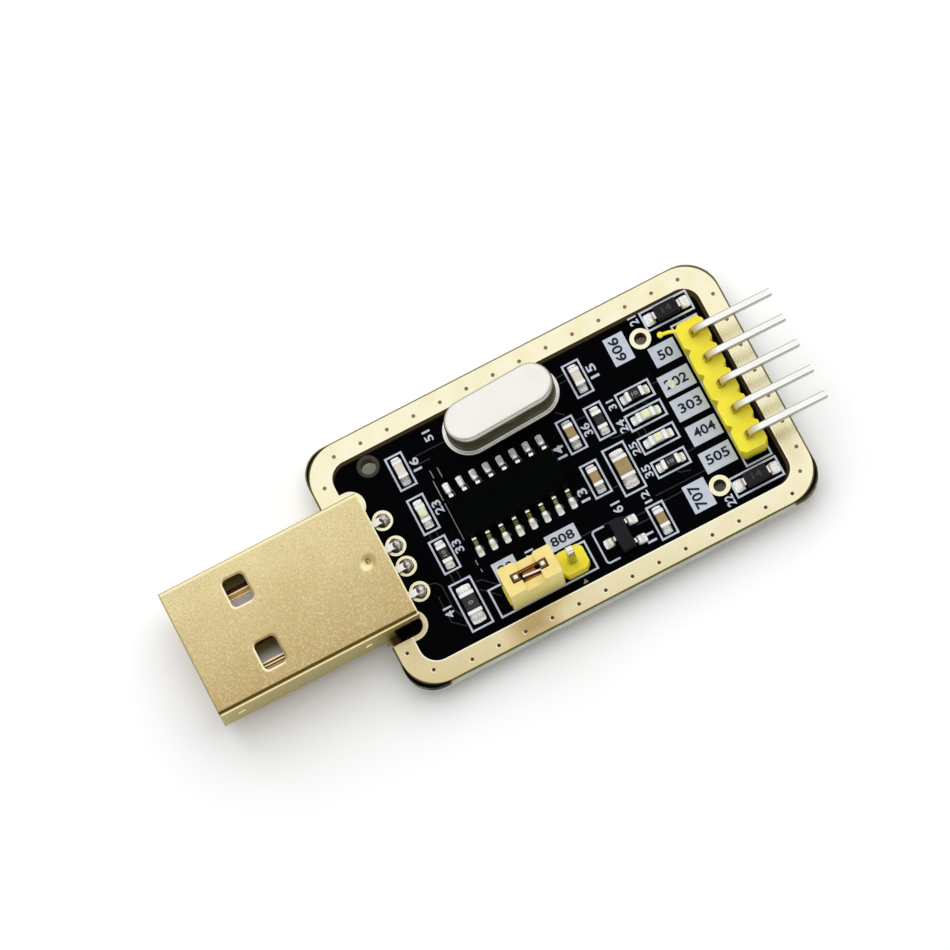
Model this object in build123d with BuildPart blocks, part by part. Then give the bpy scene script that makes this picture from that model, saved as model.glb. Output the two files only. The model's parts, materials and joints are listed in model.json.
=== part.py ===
from build123d import *
import os

# USB to serial adapter module: a black circuit board with a gold rim, an A-type plug soldered into two
# notches at one end, a right-angle pin header at the other, and a pin row with a jumper cap near one side.
#
# Board coordinates: x runs from the row of plug contact holes towards the header, y runs across the board,
# and z runs up from the top face of the laminate. The model has the same directions, with its origin under
# the middle of its length, on the surface that the soldered tails stand on. Millimetres throughout.

# Board: the copper's outline, with a narrow margin of bare laminate outside it
board_front = -4.15
board_length = 38.85
board_width = 23.1
board_thickness = 1.6
laminate_margin = 0.15
laminate_corner = 2.6
laminate_far_corner = 3.1
score_bevel = 0.13

# Board size that the places further down are given for; a board of another size spreads them in proportion
drawn_length = 38.85
drawn_width = 23.1

# Copper, with its rows of small plated holes. Insets are from the nearest board edge: a row's own inset, then
# where it begins and ends; for a lone hole, negative values are from the rear and from the -y edge. The two
# by the notches have an inset from the front, a side, and a share of the room between notch and board edge
copper_thickness = 0.04
copper_corner = 3.2
rim_width = 1.85
rim_inner_corner = 1.6
via_radius = 0.17
back_vias = 14
back_via_insets = (1.1, 3.0, 2.765)
front_vias = 13
front_via_insets = (0.7, 5.42, 2.89)
end_vias = 7
end_via_insets = (0.67, 4.18, 3.65)
lone_via_insets = [(2.13, -1.43), (-1.39, -2.12)]
notch_vias = [(1.05, 1, 0.264), (0.78, -1, 0.138)]

# Notches that take the plug's side walls, and the plug's contact holes
notch_offset = 5.85
notch_width = 1.8
notch_end = -1.0
notch_collar = 0.45
contact_rows = [3.5, 1.0, -1.0, -3.5]
contact_hole = 0.46
contact_pad = 0.9

# Other holes in the board
test_hole = 0.55
test_ring = 0.93
test_hole_inset = 7.98
test_hole_offset = 7.32
tooling_hole = 0.7
tooling_place = (1.07, 8.33)
pin_hole = 0.5
pin_pad = 0.85
wire_hole = 0.35
wire_pad = 0.7

# Print
ink_thickness = 0.02
ink_line = 0.17

# Plug shell, folded from one sheet
shell_length = 18.85
shell_width = 12.0
shell_height = 4.5
shell_wall = 0.3
shell_fold = 0.5
shell_top = 3.42
shell_rear = -1.0
window_length = 2.0
window_width = 2.6
window_corner = 0.45
window_from_tip = 6.2
window_offset = 3.05
dimple_radius = 0.75
dimple_depth = 0.14
dimple_from_rear = 1.8
boss_radius = 0.4
boss_rise = 0.07
boss_draft = 40
boss_from_tip = [1.85, 13.95]
skirt_height = 1.4
leg_width = 0.85
leg_drop = 0.45
floor_gap = 0.2

# Plug insulator and contacts
tongue_thickness = 1.95
tongue_recess = 0.7
insulator_block = 3.0
insulator_rear = 0.9
contact_thickness = 0.25
contact_width = 1.0
tail_width = 0.6
tail_level = 0.36
power_contact_recess = 1.2
data_contact_recess = 2.2
contact_bend = 0.25

# Tails and their solder; the solder in the notches is high round the shell's legs and low behind them
tail_drop = 1.2
solder_height = 0.7
solder_top_rise = 0.3
solder_foot_share = 0.9
pin_solder_share = 0.6
wire_solder_share = 1.2
notch_solder_high = -0.45
notch_solder_low = -1.2
notch_solder_slope = 0.45

# Oval crystal can, with a clearance from the rim
crystal_x = 13.28
crystal_clearance = 0.18
crystal_turn = 2.5
crystal_length = 10.2
crystal_width = 3.9
crystal_height = 3.5
crystal_edge = 0.55
flange_overhang = 0.35
flange_thickness = 0.4
wire_pitch = 4.88
wire_radius = 0.22

# Moulded packages and their bent leads: the share of a lead's reach that is level at each end
body_draft = 9
lead_shoulder = 0.3
lead_foot = 0.45

# Sixteen-lead chip, placed in the room between the crystal and the jumper row; the mark is a round dimple
chip_x = 10.58
chip_room_share = 0.7526
chip_mark_place = (3.72, 0.68)
chip_mark_radius = 0.42
chip_mark_depth = 0.05
chip_length = 9.9
chip_width = 3.9
chip_height = 1.55
chip_standoff = 0.12
chip_lead_pitch = 1.27
chip_lead_count = 8
chip_lead_width = 0.42
chip_lead_reach = 1.05
lead_thickness = 0.2
pad_overrun = 0.65

# Regulator with three leads
regulator_place = (17.45, -7.38)
regulator_length = 2.9
regulator_width = 1.3
regulator_height = 1.05
regulator_lead_pitch = 1.9
regulator_lead_reach = 0.6

# Pin rows
pin_pitch = 2.54
pin_width = 0.64
pin_point = 0.14
header_pins_count = 5
header_inset = 3.96
header_offset = -0.07
header_depth = 2.6
header_height = 2.45
cell_notch = 0.42
bend_height = 3.2
bend_radius = 0.3
pin_reach = 7.51
pin_droop = 0.4
burr_width = 0.26
burr_points = [(0, 0), (-0.75, 0.3), (-1.45, 0.4)]
burr_tip = (-1.5, 0.42)
jumper_pins_count = 3
jumper_place = (10.09, -7.55)
jumper_depth = 2.2
jumper_block_height = 1.7
jumper_pin_tip = 5.6

# Jumper cap and its spring contact
cap_length = 4.95
cap_depth = 2.66
cap_top = 5.4
cap_edge = 0.13
cap_saddle = 0.75
cap_saddle_length = 1.75
cap_foot = 0.35
cap_roof = 0.55
cap_clearance = 0.05
cap_opening = 0.84
cavity_length = 4.2
cavity_depth = 1.16
leaf_thickness = 0.2
leaf_height = 2.5
bridge_length = 1.2
bridge_thickness = 0.2
bridge_drop = 0.5

# Two-ended chip parts: length, width and height of the body, and the reach of its solder
small_size = (1.6, 0.8)
large_size = (2.0, 1.25)
diode_size = (2.1, 1.35)
capacitor_height = 0.8
resistor_height = 0.45
link_height = 0.55
led_base_height = 0.35
led_lens_height = 0.25
led_lens_setback = 0.42
led_lens_draft = 12
diode_height = 0.95
terminal_length = 0.32
terminal_wall = 0.03
part_seat = 0.05
small_solder = 0.5
large_solder = 0.8
diode_lead_reach = 0.55

# Solder at the parts' ends: its width as a share of the lead's or the body's, and the point where its slope
# bends, as shares of its reach and height
diode_solder_share = 0.8
chip_solder_share = 1.4
regulator_solder_share = 2.0
solder_bend = (0.35, 0.45)

# Print frames round the chip parts: outer length and width
small_frame = (3.25, 1.65)
large_frame = (4.6, 2.12)
led_frame = (3.5, 1.62)
diode_frame = (4.55, 1.93)

# Chip parts by name: x, y and turn of the long side
small_capacitors = {
    "capacitor_1": (21.03, -7.70, 90),
    "capacitor_3": (17.70, -1.85, 90),
    "capacitor_4": (17.65, 2.58, 90),
    "capacitor_5": (20.38, 6.73, 90),
    "capacitor_6": (3.33, 6.60, 90),
}
large_capacitors = {"capacitor_2": (20.25, -2.18, 90)}
resistors = {
    "resistor_1": (24.03, 3.15, 0),
    "resistor_3": (3.33, -1.65, 90),
    "resistor_5": (24.00, -3.58, 0),
    "resistor_6": (20.33, 2.55, 90),
}
links = {"fuse_link": (3.38, -6.53, 90)}
leds = {
    "power_led": (3.33, 2.35, 90),
    "transmit_led": (24.03, 1.10, 0),
    "receive_led": (24.05, -1.20, 0),
}

# Diodes beside the header block: the side of the board, and the share of the room there that is left inside
diode_inset = 4.87
diode_sides = {"diode_1": (1, 0.678), "diode_2": (-1, 0.496)}

# Printed frames round the pin rows: offset from the row's middle, length and width
header_frame = (-0.02, 0.12, 2.55, 14.1)
jumper_frame = (-0.34, 0.05, 9.3, 2.8)

# Filled label boxes: those beside the header at their place; those beside the test holes by their offset from
# the hole along x and their y; those beside the jumper row by x, with the y and the width as shares of the
# room there. The last two values of each are its length and width.
header_boxes = [
    (28.00, 5.25, 2.40, 1.90),
    (27.75, 2.58, 2.90, 1.95),
    (27.75, 0.18, 2.90, 2.05),
    (27.80, -2.40, 2.80, 1.90),
    (27.75, -5.02, 2.90, 1.95),
]
test_boxes = [(-2.04, 7.38, 1.85, 2.65), (-1.94, -7.28, 2.05, 2.65)]
jumper_boxes = [(7.40, 0.343, 2.10, 0.614), (12.83, 0.368, 2.85, 0.56)]


def spread(x, y):
    """A place given for the drawn board size, moved in proportion to the board's own size."""
    return (
        board_front + (x - board_front) * board_length / drawn_length, y * board_width / drawn_width)


def spaced(first, last, count):
    """Evenly spaced values from first to last."""
    return [first + (last - first) * step / (count - 1) for step in range(count)]


# Values that follow from the ones above
board_rear = board_front + board_length
board_middle = board_front + board_length / 2
board_side = board_width / 2
rim_inside = board_side - rim_width
shell_tip = shell_rear - shell_length
shell_floor = shell_top - shell_height
header_x = board_rear - header_inset
pin_tip = header_x + pin_reach
tail_end = -board_thickness - tail_drop
middle_x = (shell_tip + pin_tip) / 2

jumper_x, jumper_y = spread(*jumper_place)
header_places = [
    (header_x, header_offset + pin_pitch * (step - (header_pins_count - 1) / 2))
    for step in range(header_pins_count)
]
jumper_places = [
    (jumper_x + pin_pitch * (step - (jumper_pins_count - 1) / 2), jumper_y)
    for step in range(jumper_pins_count)
]
contact_places = [(0, row) for row in contact_rows]
tooling_x, tooling_y = spread(*tooling_place)
test_x = board_rear - test_hole_inset
test_places = [(test_x, spread(0, side * test_hole_offset)[1]) for side in (1, -1)]

inset, begin, end = back_via_insets
via_places = [(x, board_side - inset) for x in spaced(board_front + begin, board_rear - end, back_vias)]
inset, begin, end = front_via_insets
via_places += [(x, inset - board_side) for x in spaced(board_front + begin, board_rear - end, front_vias)]
inset, begin, end = end_via_insets
via_places += [(board_rear - inset, y) for y in spaced(begin - board_side, board_side - end, end_vias)]
for inset_x, inset_y in lone_via_insets:
    via_places.append((
        (board_front if inset_x > 0 else board_rear) + inset_x,
        (board_side if inset_y > 0 else -board_side) - inset_y))
collar_side = notch_offset + notch_width / 2 + notch_collar
for inset_x, side, share in notch_vias:
    via_places.append((board_front + inset_x, side * (collar_side + share * (board_side - collar_side))))

# The crystal keeps its clearance from the rim, and the chip its share of the room beside the jumper cap
crystal_reach = crystal_width / 2 + flange_overhang
crystal_place = (spread(crystal_x, 0)[0], rim_inside - crystal_clearance - crystal_reach)
chip_reach = chip_width / 2 + chip_lead_reach + pad_overrun
cap_side = jumper_y + cap_depth / 2
chip_room = crystal_place[1] - crystal_reach - cap_side - 2 * chip_reach
chip_place = (spread(chip_x, 0)[0], cap_side + chip_reach + chip_room_share * chip_room)

# The diodes stand between the header block and the rim
diode_solder_width = diode_size[1] * diode_solder_share
diode_places = {}
for name, (side, share) in diode_sides.items():
    block_side = pin_pitch * header_pins_count / 2 + side * header_offset
    diode_room = rim_inside - block_side - (diode_size[1] + diode_solder_width) / 2
    diode_y = block_side + diode_size[1] / 2 + share * diode_room
    diode_places[name] = (board_rear - diode_inset, side * diode_y, 0)

# Print that carries no part: frames round the two pin rows, and filled boxes
row_frames = []
for (x, y), (along, across, length, width) in (
    ((header_x, header_offset), header_frame), ((jumper_x, jumper_y), jumper_frame)
):
    row_frames.append((x + along, y + across, length, width))
label_boxes = [(*spread(x, y), length, width) for x, y, length, width in header_boxes]
label_boxes += [(test_x + along, spread(0, y)[1], length, width) for along, y, length, width in test_boxes]
row_side = jumper_y + jumper_frame[1] + jumper_frame[3] / 2
row_room = chip_place[1] - chip_reach - row_side
label_boxes += [
    (spread(x, 0)[0], row_side + share * row_room, length, width_share * row_room)
    for x, share, length, width_share in jumper_boxes
]

# Groups of two-ended chip parts: places, body size, height of body and of lens, reach of solder, print frame
chip_groups = [
    (small_capacitors, small_size, capacitor_height, 0, small_solder, small_frame),
    (large_capacitors, large_size, capacitor_height, 0, large_solder, large_frame),
    (resistors, small_size, resistor_height, 0, small_solder, small_frame),
    (links, large_size, link_height, 0, large_solder, large_frame),
    (leds, small_size, led_base_height, led_lens_height, small_solder, led_frame),
]


def deck(x=0.0, y=0.0, z=0.0, turn=0.0):
    """A plane parallel to the board, with its origin at board coordinates x, y and z."""
    across = Vector(1, 0, 0).rotate(Axis.Z, turn)
    return Plane(origin=(x - middle_x, y, z - tail_end), x_dir=across, z_dir=(0, 0, 1))


def upright(x=0.0, y=0.0, z=0.0, turn=0.0):
    """A plane standing on the board: its own x runs along the turned board x, and its own y runs up."""
    across = Vector(1, 0, 0).rotate(Axis.Z, turn)
    return Plane(origin=(x - middle_x, y, z - tail_end), x_dir=across, z_dir=across.cross(Vector(0, 0, 1)))


def lengthwise(x=0.0, y=0.0, z=0.0):
    """A plane across the board's length: its own x runs along board y, and its own y runs up."""
    return Plane(origin=(x - middle_x, y, z - tail_end), x_dir=(0, 1, 0), z_dir=(1, 0, 0))


wire_places = [
    tuple(Vector(crystal_place) + Vector(side * wire_pitch / 2, 0).rotate(Axis.Z, crystal_turn))[:2]
    for side in (-1, 1)
]


def round_holes(places, radius, mode=Mode.SUBTRACT):
    """Circles in the open sketch."""
    with Locations(*places):
        Circle(radius, mode=mode)


def notch_shape(grow, mode):
    """The two open notches in the open sketch, grown outwards by a collar."""
    centre = notch_end - notch_width / 2
    reach = centre - board_front + laminate_margin
    for side in (-1, 1):
        with Locations((centre - reach / 2, side * notch_offset)):
            Rectangle(reach, notch_width + 2 * grow, mode=mode)
        with Locations((centre, side * notch_offset)):
            Circle(notch_width / 2 + grow, mode=mode)


def drill_pattern():
    """Every hole and notch that goes through laminate and copper, cut from the open sketch."""
    notch_shape(0, Mode.SUBTRACT)
    round_holes(contact_places, contact_hole)
    round_holes(test_places, test_hole)
    round_holes([(tooling_x, tooling_y)], tooling_hole)
    round_holes(header_places + jumper_places, pin_hole)
    round_holes(wire_places, wire_hole)


def copper_layer(level, pads):
    """A copper layer: the rim with its row of small plated holes, the notch collars and round pads."""
    with BuildPart() as layer:
        with BuildSketch(deck(z=level)):
            with Locations((board_middle, 0)):
                RectangleRounded(board_length, board_width, copper_corner)
                RectangleRounded(
                    board_length - 2 * rim_width, board_width - 2 * rim_width, rim_inner_corner,
                    mode=Mode.SUBTRACT)
            notch_shape(notch_collar, Mode.ADD)
            with Locations((board_front - laminate_margin, 0)):
                Rectangle(2 * laminate_margin, board_width - 2 * laminate_corner, mode=Mode.SUBTRACT)
            round_holes(contact_places, contact_pad, Mode.ADD)
            round_holes(test_places, test_ring, Mode.ADD)
            for places, radius in pads:
                round_holes(places, radius, Mode.ADD)
            drill_pattern()
            round_holes(via_places, via_radius)
        extrude(amount=copper_thickness)
    return layer


# Laminate, bevelled all round where the panel was scored, with one corner rounder than the others
with BuildPart() as board:
    with BuildSketch(deck(z=-board_thickness)) as outline:
        with Locations((board_middle, 0)):
            Rectangle(board_length + 2 * laminate_margin, board_width + 2 * laminate_margin)
        corners = outline.vertices().sort_by(Axis.X)
        far_corner = corners[2:].sort_by(Axis.Y)[1]
        other_corners = [corner for corner in corners if corner != far_corner]
        fillet(other_corners, laminate_corner)
        square_corner = outline.vertices().sort_by_distance(far_corner)[0]
        fillet(square_corner, laminate_far_corner)
    extrude(amount=board_thickness)
    outer_faces = board.faces().filter_by(Axis.Z)
    chamfer(outer_faces.edges(), score_bevel)
    with BuildSketch(deck(z=-board_thickness)):
        with Locations((board_middle, 0)):
            Rectangle(2 * board_length, 2 * board_width)
        drill_pattern()
        round_holes(via_places, via_radius)
    extrude(amount=board_thickness, mode=Mode.INTERSECT)

top_copper = copper_layer(0, [])
bottom_copper = copper_layer(
    -board_thickness - copper_thickness,
    [(header_places + jumper_places, pin_pad), (wire_places, wire_pad)])


def print_frame(x, y, length, width, turn=0):
    """A printed rectangle drawn with one line width, in the open sketch."""
    with Locations(Location((x, y), turn)):
        Rectangle(length, width)
        Rectangle(length - 2 * ink_line, width - 2 * ink_line, mode=Mode.SUBTRACT)


with BuildPart() as silkscreen:
    with BuildSketch(deck()):
        for frame in row_frames:
            print_frame(*frame)
        for group, *_, frame in chip_groups:
            for x, y, turn in group.values():
                print_frame(*spread(x, y), *frame, turn)
        for x, y, turn in diode_places.values():
            print_frame(x, y, *diode_frame, turn)
        for x, y, length, width in label_boxes:
            with Locations((x, y)):
                Rectangle(length, width)
    extrude(amount=ink_thickness)
    add(top_copper.part, mode=Mode.SUBTRACT)

# Plug shell: a folded tube, open at the mouth, whose rear keeps only its roof, short skirts and two legs
skirt_start = board_front + leg_width - floor_gap
with BuildPart() as usb_shell:
    with BuildSketch(lengthwise(shell_tip, 0, (shell_top + shell_floor) / 2)):
        RectangleRounded(shell_width, shell_height, shell_fold)
        RectangleRounded(
            shell_width - 2 * shell_wall, shell_height - 2 * shell_wall, shell_fold - shell_wall,
            mode=Mode.SUBTRACT)
    extrude(amount=shell_length)
    floor_end = board_front - laminate_margin - floor_gap
    with BuildSketch(upright()):
        with BuildLine():
            Polyline(
                (floor_end, shell_floor), (floor_end, shell_floor + shell_fold),
                (skirt_start, shell_floor + shell_fold), (skirt_start, shell_top - skirt_height),
                (shell_rear, shell_top - skirt_height), (shell_rear, shell_floor), close=True)
        make_face()
    extrude(amount=shell_width, both=True, mode=Mode.SUBTRACT)
    with BuildSketch(deck(z=-board_thickness - leg_drop)):
        for side in (-1, 1):
            with Locations(((floor_end + skirt_start) / 2, side * (shell_width - shell_wall) / 2)):
                Rectangle(skirt_start - floor_end, shell_wall)
    extrude(amount=board_thickness + leg_drop)
    with BuildSketch(deck(shell_tip + window_from_tip, 0, shell_floor)):
        for side in (-1, 1):
            with Locations((0, side * window_offset)):
                RectangleRounded(window_length, window_width, window_corner)
    extrude(amount=shell_height, mode=Mode.SUBTRACT)
    dish = (dimple_radius**2 + dimple_depth**2) / (2 * dimple_depth)
    with Locations(deck(shell_rear - dimple_from_rear, 0, shell_top + dish - dimple_depth)):
        Sphere(dish, mode=Mode.SUBTRACT)
    for along in boss_from_tip:
        for side, turn in ((-1, 0), (1, 180)):
            side_plane = upright(shell_tip + along, side * shell_width / 2, (shell_top + shell_floor) / 2, turn)
            with BuildSketch(side_plane):
                Circle(boss_radius)
            extrude(amount=boss_rise, taper=boss_draft)

# Contacts: long blades on the tongue that step down inside the block and end in bent solder tails
tongue_top = shell_floor + shell_wall + tongue_thickness
block_front = board_front - insulator_block
block_rear = shell_rear - insulator_rear


def plug_contact(row, recess):
    """One contact: a wide blade in front, a narrow tail behind."""
    level = tongue_top - contact_thickness / 2
    step = tongue_top - tail_level
    with BuildPart() as contact:
        with BuildSketch(upright(0, row)):
            with BuildLine() as blade:
                Line((shell_tip + recess, level), (block_front, level))
            trace(blade.line, contact_thickness)
        extrude(amount=contact_width / 2, both=True)
        with BuildSketch(upright(0, row)):
            with BuildLine() as tail:
                FilletPolyline(
                    (block_front, level), (block_front + step, tail_level), (0, tail_level), (0, tail_end),
                    radius=contact_bend)
            trace(tail.line, contact_thickness)
        extrude(amount=tail_width / 2, both=True)
    return contact


contact_recesses = [power_contact_recess, data_contact_recess, data_contact_recess, power_contact_recess]
usb_contacts = {
    f"usb_contact_{number}": plug_contact(row, recess)
    for number, (row, recess) in enumerate(zip(contact_rows, contact_recesses), start=1)
}

# Insulator: the tongue along the plug's floor and the block that closes its rear
with BuildPart() as usb_insulator:
    inner_width = shell_width - 2 * shell_wall
    with BuildSketch(upright()):
        with BuildLine():
            Polyline(
                (shell_tip + tongue_recess, shell_floor + shell_wall), (floor_end, shell_floor + shell_wall),
                (floor_end, copper_thickness), (block_rear, copper_thickness),
                (block_rear, shell_top - shell_wall), (block_front, shell_top - shell_wall),
                (block_front, tongue_top), (shell_tip + tongue_recess, tongue_top), close=True)
        make_face()
    extrude(amount=inner_width / 2, both=True)
    tongue_sides = usb_insulator.edges().filter_by(Axis.X)
    fillet(tongue_sides.sort_by(Axis.Z)[:2], shell_fold - shell_wall)
    fillet(usb_insulator.edges().filter_by(Axis.X).sort_by(Axis.Z)[-2:], shell_fold - shell_wall)
    for contact in usb_contacts.values():
        add(contact.part, mode=Mode.SUBTRACT)

# Crystal can on its flange, and its two wires
with BuildPart() as crystal_can:
    with BuildSketch(deck(*crystal_place, 0, crystal_turn)):
        SlotOverall(crystal_length + 2 * flange_overhang, crystal_width + 2 * flange_overhang)
    extrude(amount=flange_thickness)
    with BuildSketch(deck(*crystal_place, flange_thickness, crystal_turn)):
        SlotOverall(crystal_length, crystal_width)
    extrude(amount=crystal_height - flange_thickness)
    fillet(crystal_can.faces().sort_by(Axis.Z)[-1].edges(), crystal_edge)

with BuildPart() as crystal_leads:
    with BuildSketch(deck(z=tail_end)):
        round_holes(wire_places, wire_radius, Mode.ADD)
    extrude(amount=-tail_end)


def moulded_body(x, y, turn, length, width, height, seat):
    """A moulded package whose four sides lean in above and below its middle."""
    with BuildPart() as body:
        with BuildSketch(deck(x, y, seat + height / 2, turn)):
            Rectangle(length, width)
        extrude(amount=height / 2, taper=body_draft)
        with BuildSketch(deck(x, y, seat + height / 2, turn)):
            Rectangle(length, width)
        extrude(amount=-height / 2, taper=body_draft)
    return body


def gull_leads(x, y, turn, places, level, reach, width):
    """Bent leads that leave a package at a level and stand on the board at the end of their reach."""
    shoulder = reach * lead_shoulder
    foot = reach * lead_foot
    half = lead_thickness / 2
    with BuildPart() as leads:
        for along, side, start in places:
            across = turn + 90 * side
            place = Vector(x, y) + Vector(along, side * start).rotate(Axis.Z, turn)
            with BuildSketch(upright(place.X, place.Y, 0, across)):
                with BuildLine():
                    Polyline(
                        (0, level - half), (0, level + half), (shoulder, level + half),
                        (reach - foot + half, part_seat + lead_thickness),
                        (reach, part_seat + lead_thickness), (reach, part_seat),
                        (reach - foot - half, part_seat), (shoulder - half, level - half), close=True)
                make_face()
            extrude(amount=width / 2, both=True)
    return leads


# Sixteen-lead chip, with the dimple that marks its first lead
with BuildPart() as chip_body:
    add(moulded_body(*chip_place, 0, chip_length, chip_width, chip_height, chip_standoff).part)
    chip_mark = Vector(chip_place) + Vector(chip_mark_place)
    with Locations(deck(chip_mark.X, chip_mark.Y, chip_standoff + chip_height)):
        Cylinder(chip_mark_radius, 2 * chip_mark_depth, mode=Mode.SUBTRACT)
chip_row =[chip_lead_pitch * (step - (chip_lead_count - 1) / 2) for step in range(chip_lead_count)]
chip_leads = gull_leads(
    *chip_place, 0, [(along, side, chip_width / 2) for side in (1, -1) for along in chip_row],
    chip_standoff + chip_height / 2, chip_lead_reach, chip_lead_width)

regulator_body = moulded_body(
    *spread(*regulator_place), 90, regulator_length, regulator_width, regulator_height, part_seat)
regulator_ends = [(0, 1, regulator_width / 2)] + [
    (side * regulator_lead_pitch / 2, -1, regulator_width / 2) for side in (1, -1)]
regulator_leads = gull_leads(
    *spread(*regulator_place), 90, regulator_ends, part_seat + regulator_height / 2, regulator_lead_reach,
    chip_lead_width)


def pin_block(places, along_y, depth, height):
    """A row of moulded cells with notches between them, pierced by its pins."""
    size = (depth, pin_pitch) if along_y else (pin_pitch, depth)
    with BuildSketch() as cell:
        Rectangle(*size)
        chamfer(cell.vertices(), cell_notch)
    with BuildPart() as block:
        with BuildSketch(deck(z=ink_thickness)):
            with Locations(*places):
                add(cell.sketch)
                Rectangle(pin_width, pin_width, mode=Mode.SUBTRACT)
        extrude(amount=height - ink_thickness)
    return block


# Header block, with the burr that its break-off left at one corner
with BuildPart() as header_block:
    add(pin_block(header_places, True, header_depth, header_height).part)
    burr_x = header_x - header_depth / 2 + burr_width
    burr_y = header_places[-1][1] + pin_pitch / 2 - cell_notch
    with BuildSketch(deck(z=header_height - 2 * burr_width)):
        with BuildLine() as strand:
            Polyline(*[(burr_x + x, burr_y + y) for x, y in burr_points])
        trace(strand.line, burr_width)
        with Locations((burr_x + burr_tip[0], burr_y + burr_tip[1])):
            Circle(burr_width)
    extrude(amount=burr_width)

jumper_block = pin_block(jumper_places, False, jumper_depth, jumper_block_height)

with BuildPart() as header_pins:
    for x, y in header_places:
        with BuildSketch(upright(x, y)):
            with BuildLine() as bent:
                FilletPolyline(
                    (0, tail_end), (0, bend_height), (pin_reach, bend_height - pin_droop),
                    radius=bend_radius + pin_width / 2)
            trace(bent.line, pin_width)
        extrude(amount=pin_width / 2, both=True)
    chamfer(header_pins.faces().group_by(Axis.X)[-1].edges(), pin_point)

with BuildPart() as jumper_pins:
    with BuildSketch(deck(z=tail_end)):
        with Locations(*jumper_places):
            Rectangle(pin_width, pin_width)
    extrude(amount=jumper_pin_tip - tail_end)
    chamfer(jumper_pins.faces().group_by(Axis.Z)[-1].edges(), pin_point)

# Jumper cap: a saddle-backed block over two pins, with two thin cheeks beside the pin block
cap_x = (jumper_places[0][0] + jumper_places[1][0]) / 2
cap_y = jumper_y
cap_seat = jumper_block_height + cap_clearance
with BuildPart() as jumper_cap:
    with BuildSketch(upright(cap_x, cap_y)):
        with BuildLine():
            Polyline(
                (-cap_length / 2, cap_foot), (cap_length / 2, cap_foot), (cap_length / 2, cap_top),
                (cap_saddle_length / 2, cap_top), (cap_saddle_length / 2, cap_top - cap_saddle),
                (-cap_saddle_length / 2, cap_top - cap_saddle), (-cap_saddle_length / 2, cap_top),
                (-cap_length / 2, cap_top), close=True)
        make_face()
    extrude(amount=cap_depth / 2, both=True)
    chamfer(jumper_cap.edges().filter_by(Axis.Z), cap_edge)
    with BuildSketch(deck(cap_x, cap_y, cap_foot)):
        Rectangle(cap_length, jumper_depth + 2 * cap_clearance)
    extrude(amount=cap_seat - cap_foot, mode=Mode.SUBTRACT)
    with BuildSketch(deck(cap_x, cap_y, cap_seat)):
        Rectangle(cavity_length, cavity_depth)
    extrude(amount=cap_top - cap_roof - cap_seat, mode=Mode.SUBTRACT)
    with BuildSketch(deck(cap_x, cap_y, cap_seat)):
        Rectangle(cap_saddle_length, cavity_depth)
        with Locations((-pin_pitch / 2, 0), (pin_pitch / 2, 0)):
            Rectangle(cap_opening, cap_opening)
    extrude(amount=cap_top - cap_seat, mode=Mode.SUBTRACT)

# Spring contact in the cap: two leaves beside the pins, joined by a bridge between them
with BuildPart() as jumper_contact:
    leaf_top = cap_top - cap_roof - cap_saddle / 2
    leaf_middle = (cavity_depth - leaf_thickness) / 2
    with BuildSketch(deck(cap_x, cap_y, leaf_top - leaf_height)):
        with Locations((0, leaf_middle), (0, -leaf_middle)):
            Rectangle(cavity_length, leaf_thickness)
    extrude(amount=leaf_height)
    with BuildSketch(deck(cap_x, cap_y, leaf_top - bridge_drop)):
        Rectangle(bridge_length, cavity_depth)
    extrude(amount=bridge_thickness)


def chip_part(x, y, turn, size, body_height, lens_height=0.0):
    """A two-ended chip part: its body, and the plated cups on its two ends."""
    length, width = size
    base = part_seat + terminal_wall
    with BuildPart() as body:
        with BuildSketch(deck(x, y, base, turn)):
            Rectangle(length - 2 * terminal_wall, width)
        extrude(amount=body_height)
        if lens_height:
            with BuildSketch(deck(x, y, base + body_height, turn)):
                Rectangle(length - 2 * led_lens_setback, width)
            extrude(amount=lens_height, taper=led_lens_draft)
    with BuildPart() as terminals:
        with BuildSketch(deck(x, y, part_seat, turn)):
            for side in (-1, 1):
                with Locations((side * (length - terminal_length) / 2, 0)):
                    Rectangle(terminal_length, width + 2 * terminal_wall)
        extrude(amount=body_height + 2 * terminal_wall)
        add(body.part, mode=Mode.SUBTRACT)
    return {"body": body, "terminals": terminals}


def diode_part(x, y, turn):
    """A small moulded diode with one flat lead at each end."""
    length, width = diode_size
    body = moulded_body(x, y, turn, length, width, diode_height, part_seat)
    leads = gull_leads(
        x, y, turn + 90, [(0, side, length / 2) for side in (1, -1)], part_seat + diode_height / 2,
        diode_lead_reach, width / 2)
    return {"body": body, "leads": leads}


chip_parts = {}
for group, size, height, lens, *_ in chip_groups:
    for name, (x, y, turn) in group.items():
        for piece, builder in chip_part(*spread(x, y), turn, size, height, lens).items():
            chip_parts[f"{name}_{piece}"] = builder
for name, place in diode_places.items():
    for piece, builder in diode_part(*place).items():
        chip_parts[f"{name}_{piece}"] = builder


def solder_feet(x, y, turn, places, reach, width, height, under):
    """Solder fillets at terminals: for each, a pad under it and a slope up its end face."""
    bend_x, bend_z = solder_bend
    with BuildPart() as feet:
        for along, side, start in places:
            place = Vector(x, y) + Vector(along, side * start).rotate(Axis.Z, turn)
            with BuildSketch(upright(place.X, place.Y, 0, turn + 90 * side)):
                with BuildLine():
                    Polyline(
                        (-under, 0), (reach, 0), (reach, part_seat), (reach * bend_x, height * bend_z),
                        (0, height), (0, part_seat), (-under, part_seat), close=True)
                make_face()
            extrude(amount=width / 2, both=True)
    return feet.part


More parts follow.
